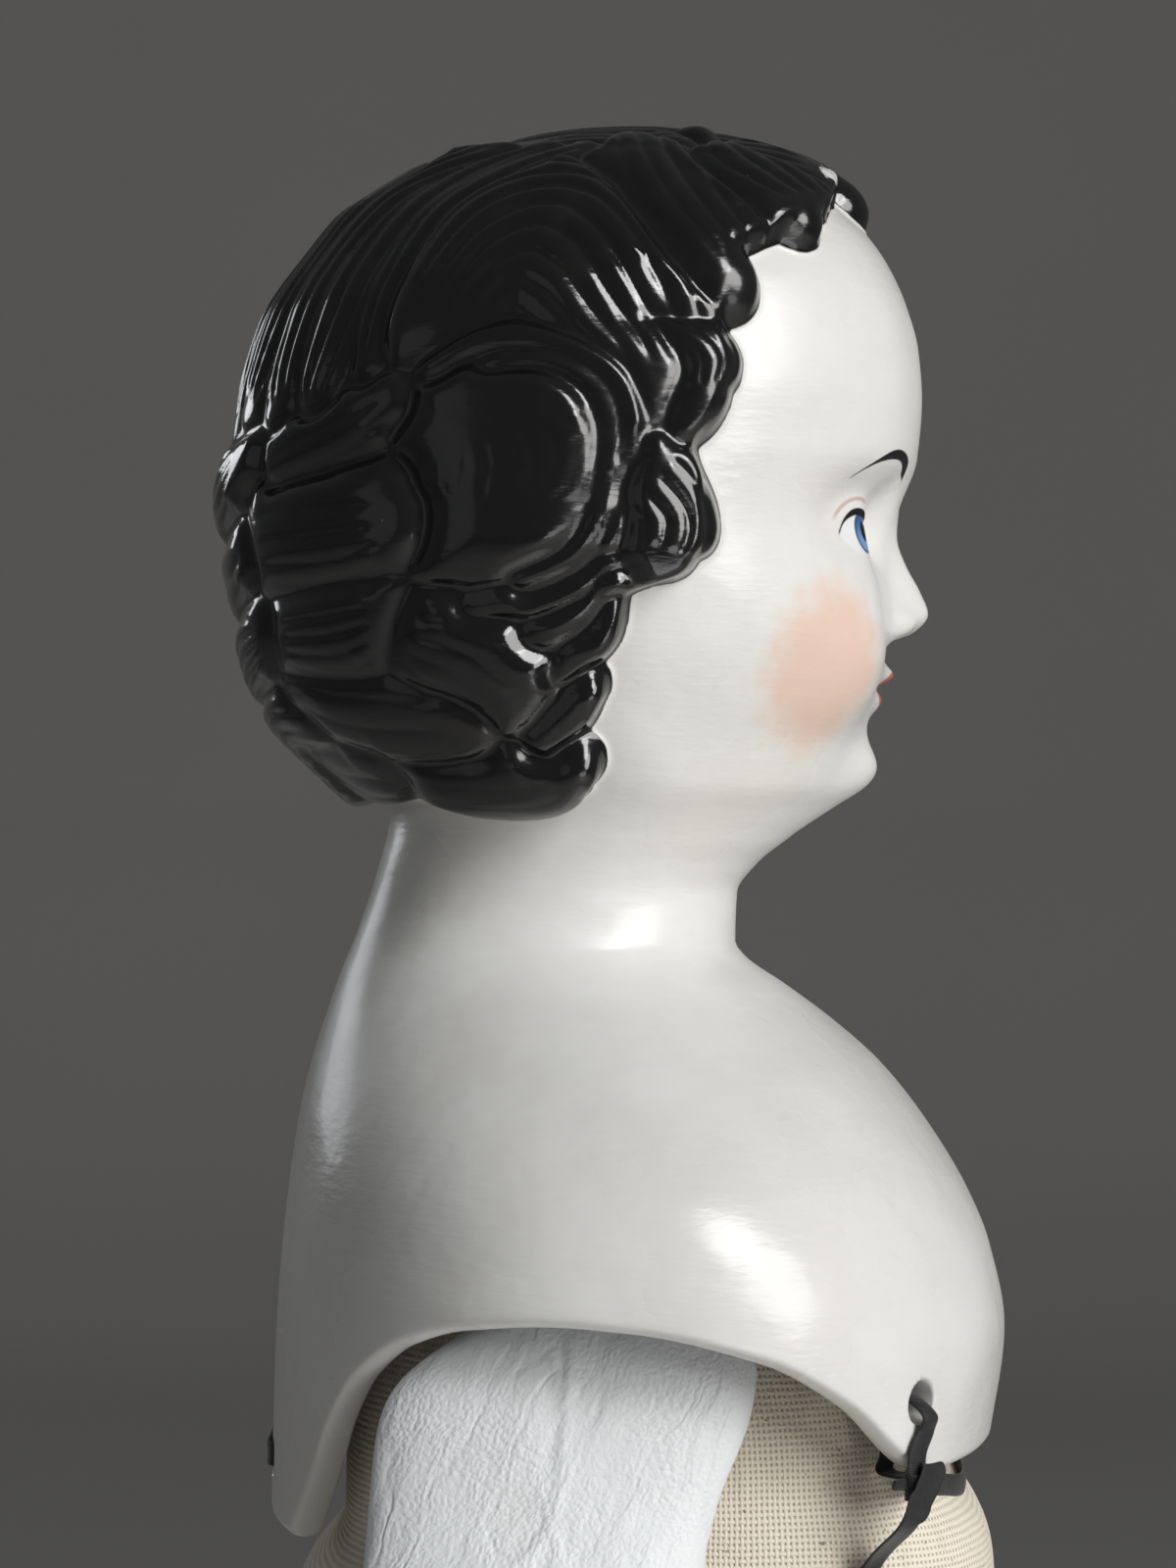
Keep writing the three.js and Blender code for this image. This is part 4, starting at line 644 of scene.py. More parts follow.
# Locks, as strokes seen from the side (ahead, height), from behind (across, height) or from above
# (across, ahead): half width, share of the full height, depth of the combing, points.
HAIR_CENTRE = np.array([0, 1, 102.0])
HAIR_EGG = np.array([33, 36, 35.5])
LOCK_HEIGHT, VALLEY, EGG_RADIUS = 3.7, 1.7, 35.0
LOCKS = {
    "above": (
        (3.6, 0.75, 0.2, ((3.5, -10), (4.5, 4), (4, 14), (3.6, 22))),
        (3.6, 0.8, 0.2, ((11, -6), (12, 5), (10.8, 13), (9.6, 19))),
    ),
    "side": (
        (3.5, 0.95, 0.18, ((9.5, 134.5), (12.5, 130.7), (15.8, 127.4), (17.6, 125.2))),
        (4.4, 1, 0.2, ((2.9, 134), (5.2, 130.2), (8, 125.2), (10.9, 120.6))),
        (6.4, 1, 0.28, ((-14.5, 118), (-9.6, 123.8), (-3.4, 125.4), (2, 122.4), (5, 116.5), (6.6, 111.5))),
        (4.8, 1.05, 0.2, ((5.4, 116.6), (8.6, 112.6), (9.6, 109.2))),
        (9.4, 1.2, 0.06, ((-8.4, 105.4), (-7.8, 103), (-7.8, 100.6))),
        (1.7, 0.98, 0.1, (
            (-13.5, 111.6), (-9, 114.2), (-3.6, 114), (1.4, 110.2),
            (3.8, 104), (3, 97.6), (0, 93.2), (-5, 90.8),
        )),
        (1.3, 1.02, 0.1, (
            (-8.6, 111.8), (-3.8, 112), (0.2, 109), (2, 103.8), (1.6, 98.4), (-1, 94.6), (-5.4, 92.4),
        )),
        (4.9, 1.05, 0.16, ((5.6, 101.6), (7.8, 99.2), (6.6, 96))),
        (1.9, 1, 0.1, ((-9.6, 89.6), (-2.5, 90.7), (2.2, 94.4))),
        (1.8, 0.95, 0.1, ((-5, 87), (0.1, 89.4), (2.4, 92.4))),
        (1.7, 0.9, 0.1, ((-3.4, 84.2), (0, 86.6), (1.9, 90))),
        (4.2, 1.05, 0.1, ((-15, 87.6), (-9.6, 86), (-6.6, 84))),
        (2.3, 0.9, 0.12, ((-4.2, 79.8), (-2.6, 81.2), (-1, 82.8))),
        (3.1, 1.05, 0.05, ((-16.4, 76.2), (-9.4, 75.9), (-3.4, 76.4), (-1.4, 77.4))),
        (3.3, 0.8, 0.34, ((-8, 134), (-18, 129.8), (-25, 123.5), (-29, 116), (-29.8, 110))),
        (3, 0.75, 0.34, ((-4, 134), (-13, 129.4), (-20, 122), (-23.5, 114), (-25, 109.6))),
        (2.6, 0.7, 0.3, ((-1, 134), (-8.5, 131.4), (-15.4, 126.4), (-19.4, 119), (-20, 112.6))),
        (2.9, 0.95, 0.14, ((-29.6, 103.6), (-23.9, 106), (-18, 109))),
        (4.6, 1, 0.12, ((-31, 97), (-24.9, 98), (-19.2, 99))),
        (4.3, 0.95, 0.12, ((-27.9, 88.2), (-23, 88.4), (-18.6, 88.8))),
        (3, 0.85, 0.12, ((-25.4, 82), (-18.8, 80.8), (-12.4, 80.6))),
        (2.7, 0.8, 0.1, ((-24.5, 77), (-20, 76.6), (-16.5, 76.2))),
    ),
    "behind": (
        (4.2, 1.1, 0.16, ((14, 104.6), (9, 102.6), (3, 100.6))),
        (2.8, 1, 0.16, ((14.4, 96.2), (9, 94.4), (2.6, 92.8))),
        (4, 1, 0.16, ((14, 88.4), (8.6, 87), (2.8, 85.4))),
        (3.2, 0.9, 0.12, ((14.5, 80.4), (8.4, 79.4), (2, 79))),
        (4.4, 0.75, 0.3, ((3.4, 131), (4.4, 122), (4.2, 110))),
        (4.2, 0.75, 0.3, ((10, 130.5), (12.6, 120), (12.4, 111))),
    ),
}
hair_front = drafted(
    (71.5, -9), (73, -5), (75, -2), (80, -1.6), (84, -1), (87, 0.8), (90, 2.2), (92, 5.5), (94, 9.5),
    (98, 11), (102, 11), (105, 10.4), (108, 12.2), (112, 13.2), (116, 13.2), (120, 13.4), (123, 14),
    (125, 17.5), (126.5, 20), (128.5, 23.5), (SKULL_TOP, 26),
)


def looking(view, points):
    """Unit directions from the middle of the skull to points drawn in one view."""
    points = np.array(points, float)
    found = np.zeros((len(points), 3))
    seen = {"side": (1, 2), "behind": (0, 2), "above": (0, 1)}[view]
    for k, axis in enumerate(seen):
        sign = -1 if axis == 1 else 1
        found[:, axis] = (sign * points[:, k] - HAIR_CENTRE[axis]) / HAIR_EGG[axis]
    hidden = ({0, 1, 2} - set(seen)).pop()
    found[:, hidden] = np.sqrt(np.clip(1 - (found**2).sum(axis=1), 0, None))
    return unit(found)


def drawn(points, count):
    """Smooth line through points."""
    points = np.array(points, float)
    ends = np.concatenate([[2 * points[0] - points[1]], points, [2 * points[-1] - points[-2]]])
    at = np.linspace(0, len(points) - 1, count)
    i = np.minimum(at.astype(int), len(points) - 2)
    t = (at - i)[:, None]
    a, b, c, d = (ends[i + k] for k in range(4))
    return 0.5 * (
        2 * b + (c - a) * t + (2 * a - 5 * b + 4 * c - d) * t**2 + (3 * b - a - 3 * c + d) * t**3
    )


def hair_rise(points):
    """Height of the hair over the bare head, and of its combing. Each place belongs to the lock it is nearest
    to, for the lock's width: locks are pillows that meet in grooves, with strands combed from end to end."""
    x, y, z = points.T
    cover = step(0, 1.6, hair_front(z) + y) * step(71.5, 73.5, z)
    egg = unit((points - HAIR_CENTRE) / HAIR_EGG)
    egg[:, 0] = np.abs(egg[:, 0])
    sway = np.stack([np.sin(9 * egg[:, 2] + 5 * egg[:, 1]), np.sin(11 * egg[:, 2] - 4 * egg[:, 0])], -1)
    egg[:, 1:] += 0.022 * sway
    nearest = next_nearest = np.full(len(z), 9.0)
    lock = next_lock = np.full(len(z), -1)
    top = combed = np.zeros(len(z))
    locks = [(view, *lock_of_view) for view, seen in LOCKS.items() for lock_of_view in seen]
    for number, (view, half_width, share, comb, stroke) in enumerate(locks):
        line = unit(drawn(looking(view, stroke), 12 * len(stroke)))
        ahead = unit(np.gradient(line, axis=0))
        near = (egg @ line.T).argmax(axis=1)
        off = EGG_RADIUS * (egg - line[near])
        along = near / (len(line) - 1)
        wide = half_width * (0.8 + 0.4 * np.sin(np.pi * (0.1 + 0.8 * along)))
        away = np.linalg.norm(off, axis=1) / wide
        closer = away < nearest
        second = ~closer & (away < next_nearest)
        next_lock = np.where(closer, lock, np.where(second, number, next_lock))
        next_nearest = np.where(closer, nearest, np.minimum(next_nearest, away))
        lock = np.where(closer, number, lock)
        nearest = np.where(closer, away, nearest)
        lift = step(-0.1, 0.5, along) if view == "above" else 1
        top = np.where(closer, VALLEY + (share * LOCK_HEIGHT - VALLEY) * lift, top)
        side_off = np.einsum("ij,ij->i", off, np.cross(line, ahead)[near]) / wide
        phase = max(3, round(1.15 * half_width)) * np.pi * side_off + 0.9 * np.sin(5 * along + number)
        strand = (np.abs(np.sin(phase / 2)) ** 0.7 - 0.6) * step(0, 0.12, along) * step(1, 0.88, along)
        combed = np.where(closer, 1.7 * comb * strand, combed)

    # A lock that lies over its neighbour ends steeply, and one that goes under it slopes down to the groove.
    slope = np.where(lock > next_lock, 1, 2.1)
    pillow = np.sqrt(1 - (1 - np.clip((next_nearest - nearest) / slope, 0, 1)) ** 2)
    valley = VALLEY + 0.5 * np.sin(4 * egg[:, 1] + 2) * np.sin(5 * egg[:, 2] + 1)
    within = np.maximum(cover, np.sqrt(np.clip(1 - nearest**2, 0, 1)))
    return within * (valley + (top - valley) * pillow), within * combed * pillow


plate_arch = drafted(
    (-28.8, 0), (-26.2, 7.55), (-25, 11.8), (-22.4, 17), (-17.9, 21), (-12.2, 22.9), (-3.8, 23.6),
    (3.8, 23.1), (16, 20.2), (24.2, 15.6), (31.5, 9.2), (33.6, 8),
)


def plate_edge(angle):
    """Lower edge of the plate: straight in front and behind, arched over each arm."""
    return plate_arch(-section(52, 42, 32, angle, 2.2)[1])


def head_section(angle, height, inset=0.0):
    """Bare section of the head and plate. In front the jaw narrows to the chin."""
    power = 2.2 + (face_power(height) - 2.2) * step(-0.2, 0.5, np.cos(angle))
    half_width, front, back = head_half_width(height), face_mask(height), head_back(height)
    return section(half_width - inset, front - inset, back - inset, angle, power)


def head_outside(angle, height, softened=0):
    angle, height = np.broadcast_arrays(angle, height)
    x, y = head_section(angle, height)
    y = y - face_rise(x, height) * step(0.1, 0.5, np.cos(angle))
    points = np.stack([x, y, height], -1).reshape(-1, 3)
    hair, combed = (np.where(points[:, 2] > 70, part, 0).reshape(x.shape) for part in hair_rise(points))
    for _ in range(softened):  # glaze fills the grooves
        hair = (np.roll(hair, 1, 1) + 2 * hair + np.roll(hair, -1, 1)) / 4
        hair[1:-1] = (hair[:-2] + 2 * hair[1:-1] + hair[2:]) / 4
    hair = hair + combed
    points = points + hair.reshape(-1, 1) * unit(points - HAIR_CENTRE)
    return points.reshape(*x.shape, 3) + [0, 0, BUST], hair


def head_inside(angle, height):
    angle, height = np.broadcast_arrays(angle, height)
    x, y = head_section(angle, height, CHINA_WALL)
    return np.stack([x, y, height + BUST], -1)


COLUMNS = 680
even = ring_turns(COLUMNS)
around = even - 0.3 * np.sin(even)  # closer together in the face
fine = np.linspace(SKULL_TOP - 0.02, PLATE_TOP, 4000)
spans = [np.abs(np.diff(curve(fine))) for curve in (face_mask, head_back, head_half_width)]
walked = np.concatenate([[0], np.cumsum(np.hypot(np.diff(fine), np.max(spans, axis=0)))])
rows_down = np.interp(np.linspace(0, walked[-1], 430), walked, fine)[:, None]
edge = plate_edge(around)
LIP = 1.1
plate = PLATE_TOP + (edge + LIP - PLATE_TOP) * np.linspace(0, 1, 76)[1:, None]
outside, hair = head_outside(around, np.concatenate([rows_down + 0 * edge, plate]), 4)
roll = np.linspace(0, math.pi, 11)[1:-1, None, None]
lip_out, lip_in = head_outside(around, edge + LIP)[0], head_inside(around, edge + LIP)
lip = lip_out + (lip_in - lip_out) * (1 - np.cos(roll)) / 2
lip[:, :, 2] -= LIP * np.sin(roll[:, :, 0])
back_up = edge + LIP + (PLATE_TOP - edge - LIP) * np.linspace(0, 1, 24)[:, None]
dome = np.sin(np.linspace(0, math.pi / 2 - 0.06, 26))[1:, None]
up_inside = PLATE_TOP + (SKULL_TOP - CHINA_WALL - PLATE_TOP) * dome
inside = head_inside(around, np.concatenate([back_up, up_inside + 0 * edge]))
head = sewn_tube("china_head", np.concatenate([outside, lip, inside]))
hair_height = np.concatenate([hair.ravel(), np.zeros(len(head.data.vertices) - hair.size)])
hair_height[-2] = LOCK_HEIGHT  # the crown, where the rows begin

# Four holes are pierced near the plate's edge for the ties.
BACK_HOLE = 0.17  # turn from straight behind
HOLE_TURNS = {"front": (-0.81, 0.81), "back": (math.pi + BACK_HOLE, math.pi - BACK_HOLE)}
HOLE_RISE, HOLE_RADIUS = 6.0, 1.9


def hole_at(turn):
    """Middle of a hole in the wall, and the way out of it."""
    height = plate_edge(turn) + HOLE_RISE
    outer, inner = head_outside(turn, height)[0], head_inside(turn, height)
    return (outer + inner) / 2, unit(outer - inner)


tree = kdtree.KDTree(len(head.data.vertices))
for i, vertex in enumerate(head.data.vertices):
    tree.insert(vertex.co, i)
tree.balance()
drills = []
for turn in (*HOLE_TURNS["front"], *HOLE_TURNS["back"]):
    middle, out = hole_at(turn)
    turns = ring_turns(40)
    reach = np.array([-9, -2.2, -1.2, 0, 1.2, 2.2, 9])[:, None]
    flare = HOLE_RADIUS + 0.45 * step(0.8, 2.2, np.abs(reach))
    side_way = unit(np.cross(out, [0, 0, 1]))
    up_way = np.cross(side_way, out)
    ring = flare[..., None] * (np.cos(turns)[..., None] * side_way + np.sin(turns)[..., None] * up_way)
    drills.append(sewn_tube("drill", middle + reach[..., None] * out + ring))
for drill in drills:
    pierce = head.modifiers.new("pierce", "BOOLEAN")
    pierce.operation, pierce.solver, pierce.object = "DIFFERENCE", "MANIFOLD", drill
settled(head)
for drill in drills:
    bpy.data.objects.remove(drill)
nearest = [tree.find(vertex.co)[1] for vertex in head.data.vertices]
raised = head.data.attributes.new("hair", "FLOAT", "POINT")
raised.data.foreach_set("value", hair_height[nearest].astype(np.float32))


def glazed_china():
    """White china under a clear glaze, with painted hair, brows, eyes, lips and cheeks, and kiln specks."""
    finish, start, place, (x, y, z) = new_finish("glazed_china")
    across, ahead, height = abs(x), -y, z - BUST
    ink = (0.012, 0.011, 0.012)

    def far_from(*terms):
        """Distance from a spot. Each term is a way, the spot's place on it and the spot's reach that way."""
        return start.sum("SQRT", sum(((way - at) / reach) ** 2 for way, at, reach in terms))

    def arc_gap(at_across, at_height, radius):
        return far_from((across, at_across, 1), (height, at_height, 1)) - radius

    def round_spot(at_across, at_height, radius, soft, wide=1):
        gap = far_from((across, at_across, wide), (height, at_height, 1))
        return fade(gap, radius + soft, radius - soft) * fade(ahead, 8, 14)

    clouds = blotch(place, 22, 4)
    grime = blotch(place, 2.2, 4)
    china = tint(fade(clouds, 0.35, 0.7), (0.775, 0.765, 0.725), (0.84, 0.84, 0.82))
    china = tint(fade(grime, 0.6, 0.8) * 0.12, china, (0.66, 0.60, 0.50))

    # Cheeks: a stippled peach blush.
    cheek_gap = far_from((across, 20, 1), (ahead, 24.2, 1), (height, 83.6, 1.15))
    cheek = fade(cheek_gap + (blotch(place, 2.5, 4) - 0.5) * 5, 10.2, 4.5)
    china = tint(cheek * 0.66, china, (0.83, 0.51, 0.37))

    # Lips, in orange red, with a darker line between them.
    bow = 84.3 - 0.55 * fade(across, 1.6, 0) - 1.6 * fade(across, 2.2, 6.6)
    upper = fade(height - bow, 0.12, -0.12) * fade(height, 82.4, 82.7) * fade(across, 6.3, 5.7)
    pout = 80.75 + 1.9 * fade(across, 1.4, 5.4)
    lower = fade(height - pout, -0.12, 0.12) * fade(height, 82.9, 82.6) * fade(across, 5.4, 4.8)
    lips = start.sum("MAXIMUM", upper, lower) * fade(ahead, 24, 25.5)
    china = tint(lips * 0.95, china, (0.66, 0.15, 0.085))
    parting = fade(abs(height - (82.62 + across * across * 0.006)), 0.22, 0.05) * fade(across, 5.9, 4.6)
    china = tint(parting * lips * 0.6, china, (0.32, 0.05, 0.035))
    china = tint(round_spot(1.9, 87.3, 0.35, 0.25, 1.5) * 0.6, china, (0.55, 0.22, 0.15))

    # Eyes: white, blue iris, black pupil with a white glint, a black lid line and a thin red crease.
    eye = (12.2, 97.9)
    lid_gap = arc_gap(LID_ACROSS, LID_HEIGHT, LID_RADIUS)
    low_gap = arc_gap(LID_ACROSS, 99.9, 4.3)
    front = fade(ahead, 18, 20)
    ball = fade(lid_gap, 0.1, -0.1) * fade(low_gap, 0.15, -0.15) * front
    china = tint(ball * 0.7, china, (0.84, 0.86, 0.88))
    iris = round_spot(*eye, 2, 0.1)
    china = tint(iris * ball, china, tint(fade(height, 96.2, 99.4), (0.22, 0.38, 0.66), (0.05, 0.12, 0.30)))
    ring = round_spot(*eye, 2, 0.12) - round_spot(*eye, 1.7, 0.12)
    china = tint(ring * ball * 0.8, china, (0.03, 0.07, 0.18))
    china = tint(round_spot(12.2, 98.1, 1, 0.08) * ball, china, (0.008, 0.008, 0.012))
    china = tint(round_spot(11.6, 98.9, 0.28, 0.08) * ball, china, (0.85, 0.86, 0.88))
    thick = 0.36 - 0.16 * fade(across, 14, 16.6) - 0.18 * fade(across, 10.6, 9)
    lid = fade(abs(lid_gap) - thick, 0.08, -0.08) * fade(height, 97.4, 97.9) * front
    china = tint(lid, china, ink)
    crease_gap = arc_gap(12.7, LID_HEIGHT, 5.4)
    crease = fade(abs(crease_gap), 0.3, 0.08) * fade(height, 98.6, 99.8) * fade(across, 9.6, 11.6) * front
    china = tint(crease * 0.55, china, (0.50, 0.22, 0.15))
    brow_gap = arc_gap(10.8, 98.6, 7.2)
    half = 0.5 * fade(across, 5.2, 7.2) * (1 - 0.85 * fade(across, 11, 16.6))
    brow = fade(abs(brow_gap) - half, 0.07, -0.07) * fade(height, 102.9, 103.2) * front
    china = tint(brow * fade(across, 16.8, 16.2), china, ink)

    # Kiln specks, the black hair with dust in it, and a chip at its front, on the doll's right.
    speck = start.node("TexVoronoi", {}, {"Vector": place, "Scale": 1 / 11})
    china = tint(fade(speck, 0.022, 0.012) * 0.75, china, (0.16, 0.12, 0.09))
    raised = start.node("Attribute", {"attribute_name": "hair"}, {}, out=2)
    hair = fade(raised + (blotch(place, 1.6, 2) - 0.5) * 0.16, 0.12, 0.26)
    black = tint(fade(blotch(place, 5, 5), 0.5, 0.75) * 0.35, (0.006, 0.006, 0.0065), (0.02, 0.017, 0.014))
    china = tint(hair, china, black)
    dust = fade(blotch(place, 0.8, 2), 0.79, 0.82) * hair
    china = tint(dust * 0.5, china, (0.35, 0.33, 0.30))
    chip_gap = far_from((ahead, 24, 1.7), (height, 133.4, 1.1), (x, -11.2, 2.3))
    chip = fade(chip_gap + (blotch(place, 0.9, 3) - 0.5) * 1.2, 1.05, 0.95)
    china = tint(chip, china, tint(fade(grime, 0.4, 0.6), (0.42, 0.41, 0.40), (0.72, 0.72, 0.71)))

    streaks = blotch(place, 1.4, 3, (0.5, 0.5, 2.2))
    waves = blotch(place, 7, 2)
    relief = waves * 1.2 + streaks * 0.3 + hair * 0.25 - chip * 2 - dust * 0.4
    rough = 0.25 + fade(clouds, 0.3, 0.8) * 0.12 - hair * 0.13 + chip * 0.5 + dust * 0.3
    sockets = {
        "Base Color": china,
        "Roughness": rough,
        "Coat Weight": 0.12 + hair * 0.4 - chip * 0.5,
        "Coat Roughness": 0.1,
    }
    return surfaced(finish, start, relief, 0.16, sockets)


head.data.materials.clear()
head.data.materials.append(glazed_china())
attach(head, "torso")
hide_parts("shoulder_head")

# Ties: in front, black ribbon goes through each hole, is knotted under the plate's edge and ends in a tail,
# and a length of it runs over the trunk from knot to knot. Behind, one flat stitch goes from hole to hole.
RIBBON_THICKNESS, OFF_SURFACE = 0.36, 0.7


def ribbon_length(name, points, across, widths, count):
    """Flat ribbon along a line, with rounded selvedges. Across is the way its width lies at each point."""
    line = drawn(points, count)
    lay = drawn(across, count)
    wide = np.interp(np.linspace(0, 1, count), np.linspace(0, 1, len(widths)), widths)[:, None, None]
    ahead = unit(np.gradient(line, axis=0))
    lay = unit(lay - np.einsum("ij,ij->i", lay, ahead)[:, None] * ahead)
    face = np.cross(ahead, lay)
    x, y = (part[..., None] for part in section(1, 1, 1, ring_turns(24), 4.0))
    cup = 0.12 * np.cos(math.pi * x / 2)
    ring = wide * x / 2 * lay[:, None, :] + (RIBBON_THICKNESS / 2 * y + cup) * face[:, None, :]
    return sewn_tube(name, line[:, None, :] + ring)


up = np.array([0, 0, 1.0])
front_lengths, knots = [], []
for turn in HOLE_TURNS["front"]:
    low = plate_edge(turn)
    middle, out = hole_at(turn)
    across = unit(np.cross(out, up))
    outside = across * np.sign(across[0] * math.sin(turn))
    outer = {h: head_outside(turn, low + h)[0] + OFF_SURFACE * out for h in (0, 1.2, 3.4, 5)}
    inner = {h: head_inside(turn, low + h) - OFF_SURFACE * out for h in (-1, 1, 5.6)}
    knot = outer[0].copy()
    knot[2] = BUST + low - 2
    knots.append(knot)
    under = middle.copy()
    under[2] = BUST + low - 2 * OFF_SURFACE

    # From the hole the ribbon sways down over the edge, and it comes back up behind the plate.
    loop = [
        knot - 0.5 * up + 0.3 * outside,
        outer[1.2] + 0.4 * outside,
        outer[3.4] - 0.3 * outside,
        outer[5] + 0.3 * out,
        middle + 0.3 * up,
        inner[5.6] - 0.45 * out,
        inner[1] - 1.2 * outside,
        inner[-1] - 1.2 * outside,
        under - 0.9 * outside,
        knot - 0.3 * outside,
    ]
    widths = [2.4, 2.4, 2.2, 1.9, 1.8, 2, 2.4, 2.4, 2.4, 2.2]
    front_lengths.append(ribbon_length("loop", loop, [across] * 10, widths, 100))

    # The knot: one flat turn, and over it the long end, which folds at its top and hangs down and out.
    spin = np.linspace(0, 2 * np.pi, 14)
    round_it = [knot + 0.75 * np.cos(a) * out + 1.5 * np.sin(a) * (outside + 0.2 * up) for a in spin]
    front_lengths.append(ribbon_length("turn_round", round_it, [up] * 14, [2.5] * 2, 60))
    tail = [
        knot + a * out + b * up + c * outside
        for a, b, c in (
            (-0.2, -0.6, 0), (0.2, 1.6, -0.7), (0.75, 2.3, -1),
            (1.25, 1.5, -0.7), (1.3, -0.6, 0.8), (0.8, -3.2, 2.4),
        )
    ]
    for i, tail_turn in enumerate((1.18, 1.27, 1.34)):
        rise = knot[2] - HIP - 7.5 - 6 * i
        tail.append(trunk_at(math.copysign(tail_turn, turn), rise, OFF_SURFACE + 0.3))
    widths = [2.4, 2.6, 3, 3, 3, 2.8, 2.8, 2.8, 2.6]
    front_lengths.append(ribbon_length("tail", tail, [across] * len(tail), widths, 110))
    stub = [knot, knot + 1.8 * outside + 0.6 * up, knot + 3.3 * outside + 0.7 * up]
    lay = [up, up - 0.3 * out, up + 0.3 * out]
    front_lengths.append(ribbon_length("stub", stub, lay, [1.6, 1.2, 0.9], 20))

# The band from knot to knot has a fold near each knot, past which it lies lower.
rise = knots[0][2] - HIP - 0.8
turns = np.array([-0.72, -0.62, -0.5, -0.25, 0, 0.25, 0.5, 0.62, 0.72])
drop = np.array([0, 0.2, 1.2, 2.2, 2.4, 2.2, 1.2, 0.2, 0])
band = [trunk_at(t, rise - d, OFF_SURFACE) for t, d in zip(turns, drop)]
lay = [up + 0.25 * np.array([math.copysign(1, t), 0, 0]) * (abs(t) > 0.4) for t in turns]
band = [knots[0] - 0.6 * up, *band, knots[1] - 0.6 * up]
front_lengths.append(ribbon_length("band", band, [up, *lay, up], [2.2] * 2, 140))
front_ties = joined(front_lengths)
front_ties.name = "front_ties"

shares = np.array([0.1, 0.35, 0.65, 0.9])
stitch_turns = math.pi + BACK_HOLE * (1 - 2 * shares)
hole = np.full(4, plate_edge(math.pi) + HOLE_RISE)
over = head_outside(stitch_turns, hole)[0] + [0, 0.3, 0]
end_turns = math.pi - BACK_HOLE * (1 - 2 * np.array([0.1, 0.3, 0.45]))
below = trunk_at(end_turns, hole[:3] + BUST - HIP, OFF_SURFACE)
through = [hole_at(turn)[0] for turn in HOLE_TURNS["back"]]
start_below = below[::-1] * [-1, 1, 1]
stitch = [*start_below, through[0], *over, through[1], *below]
back_tie = ribbon_length("back_tie", stitch, [up] * len(stitch), [2.4] * 2, 120)


def black_grosgrain():
    """Black ribbon with fine cross ribs and a thin dull shine on the creases."""
    finish, start, place, _ = new_finish("black_grosgrain")
    wave = {"Vector": place, "Scale": 1.7, "Distortion": 2.5, "Detail": 2}
    rib = start.node("TexWave", {"bands_direction": "Z"}, wave)
    fuzz = blotch(place, 0.5, 3)
    dye = tint(fuzz, (0.006, 0.006, 0.007), (0.02, 0.02, 0.023))
    sockets = {
        "Base Color": dye,
        "Roughness": 0.5 + fuzz * 0.25,
        "Sheen Weight": 0.25,
        "Sheen Roughness": 0.4,
    }
    return surfaced(finish, start, rib * 0.6 + fuzz, 0.035, sockets)


grosgrain = black_grosgrain()
for piece, node in ((front_ties, "front_ribbon"), (back_tie, "back_ribbon")):
    piece.data.materials.append(grosgrain)
    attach(piece, "torso")
    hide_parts(node)

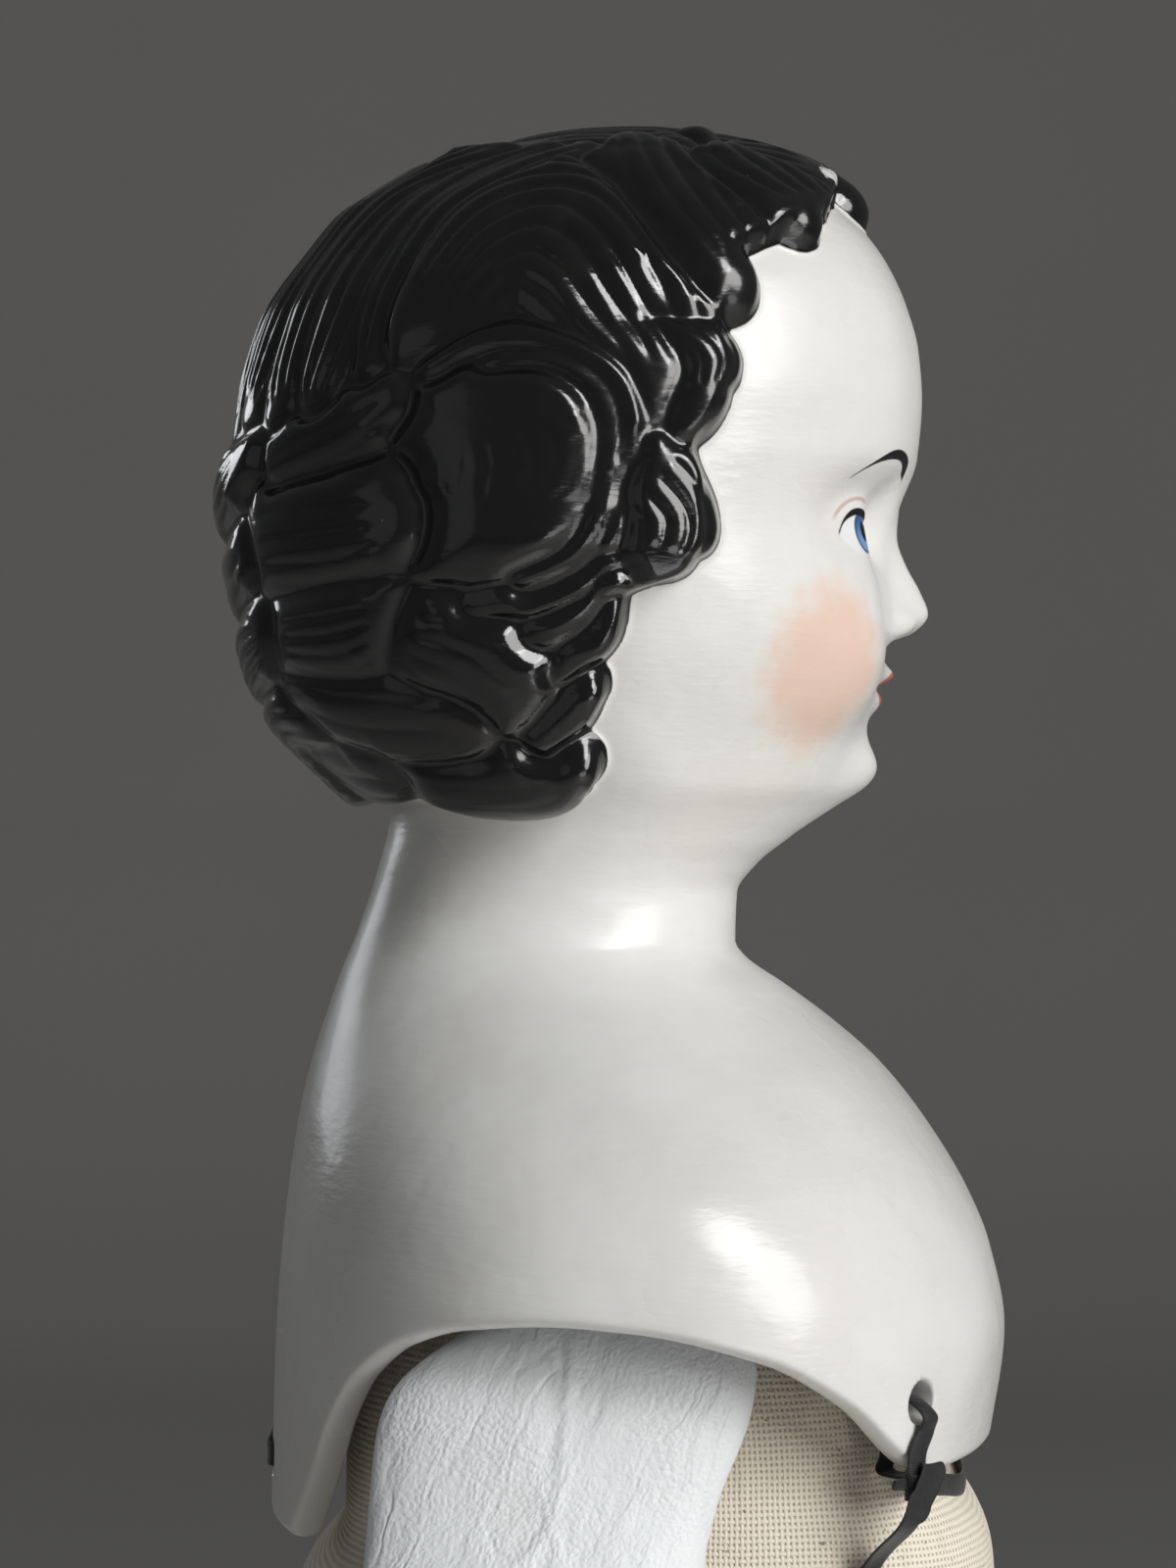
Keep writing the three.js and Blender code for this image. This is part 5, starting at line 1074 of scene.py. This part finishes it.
# Studio: a wide sweep of pale paper that leaves room to look from every side, in metres, and soft lamps: a
# window and an overhead one on the doll's front right, and weak ones low down, behind and on the far side.
SWEEP_STEPS, SWEEP_REACH = 60, 3.6
sweep_line = [
    (-SWEEP_REACH, 0), (-1.2, 0), (0.9, 0), (2.7, 0), (3.3, 0.08), (3.6, 0.4), (3.65, 0.9), (3.65, 3.6),
]
line = drawn(sweep_line, SWEEP_STEPS)
sweep_mesh = bpy.data.meshes.new("sweep")
corners = [(x, y, z) for x, z in line for y in (-SWEEP_REACH, SWEEP_REACH)]
strips = [(2 * i, 2 * i + 1, 2 * i + 3, 2 * i + 2) for i in range(SWEEP_STEPS - 1)]
sweep_mesh.from_pydata(corners, [], strips)
sweep_mesh.shade_smooth()
sweep = shown("sweep", sweep_mesh)
paper, start, place, _ = new_finish("pale_paper")
paper_tone = tint(blotch(place, 300, 2), (0.60, 0.585, 0.565), (0.63, 0.615, 0.595))
surfaced(paper, start, blotch(place, 2, 2), 0.02, {"Base Color": paper_tone, "Roughness": 0.9})
sweep_mesh.materials.append(paper)


def soft_lamp(name, place, aim, size, watts, colour=(1, 1, 1)):
    data = bpy.data.lights.new(name, "AREA")
    data.shape, (data.size, data.size_y) = "ELLIPSE", size
    data.energy, data.color = watts, colour
    lamp = shown(name, data)
    lamp.location = place
    lamp.rotation_euler = (Vector(aim) - Vector(place)).to_track_quat("-Z", "Y").to_euler()
    lamp.visible_camera = False


soft_lamp("window", (-0.78, -0.93, 0.8), (0, 0, 0.45), (0.6, 0.9), 8.6, (1.0, 0.985, 0.965))
soft_lamp("overhead", (-0.75, -0.6, 1.2), (0, 0, 0.48), (0.4, 0.5), 4.9)
soft_lamp("bounce", (-0.75, -0.5, 0.2), (0, 0, 0.36), (0.6, 0.3), 0.8)
soft_lamp("fill", (-0.9, 0.9, 0.6), (0, 0, 0.45), (0.8, 0.8), 0.25, (0.95, 0.97, 1.0))
soft_lamp("far_side", (1.3, 1.1, 0.9), (0, 0, 0.4), (0.6, 0.6), 2.0, (0.95, 0.97, 1.0))
world = bpy.data.worlds.new("studio")
world.use_nodes = True
background = world.node_tree.nodes["Background"].inputs
background["Color"].default_value = (0.9, 0.92, 0.95, 1)
background["Strength"].default_value = 0.1
bpy.context.scene.world = world
bpy.context.scene.view_settings.view_transform = "Standard"

lens = bpy.data.cameras.new("camera")
lens.lens, lens.sensor_width, lens.clip_start = 101.25, 36, 0.01
camera = shown("camera", lens)
camera.location = (-0.45, MIDDLE_SETBACK / 1000, 0.494)
camera.rotation_euler = (math.pi / 2, 0, -math.pi / 2)
bpy.context.scene.camera = camera
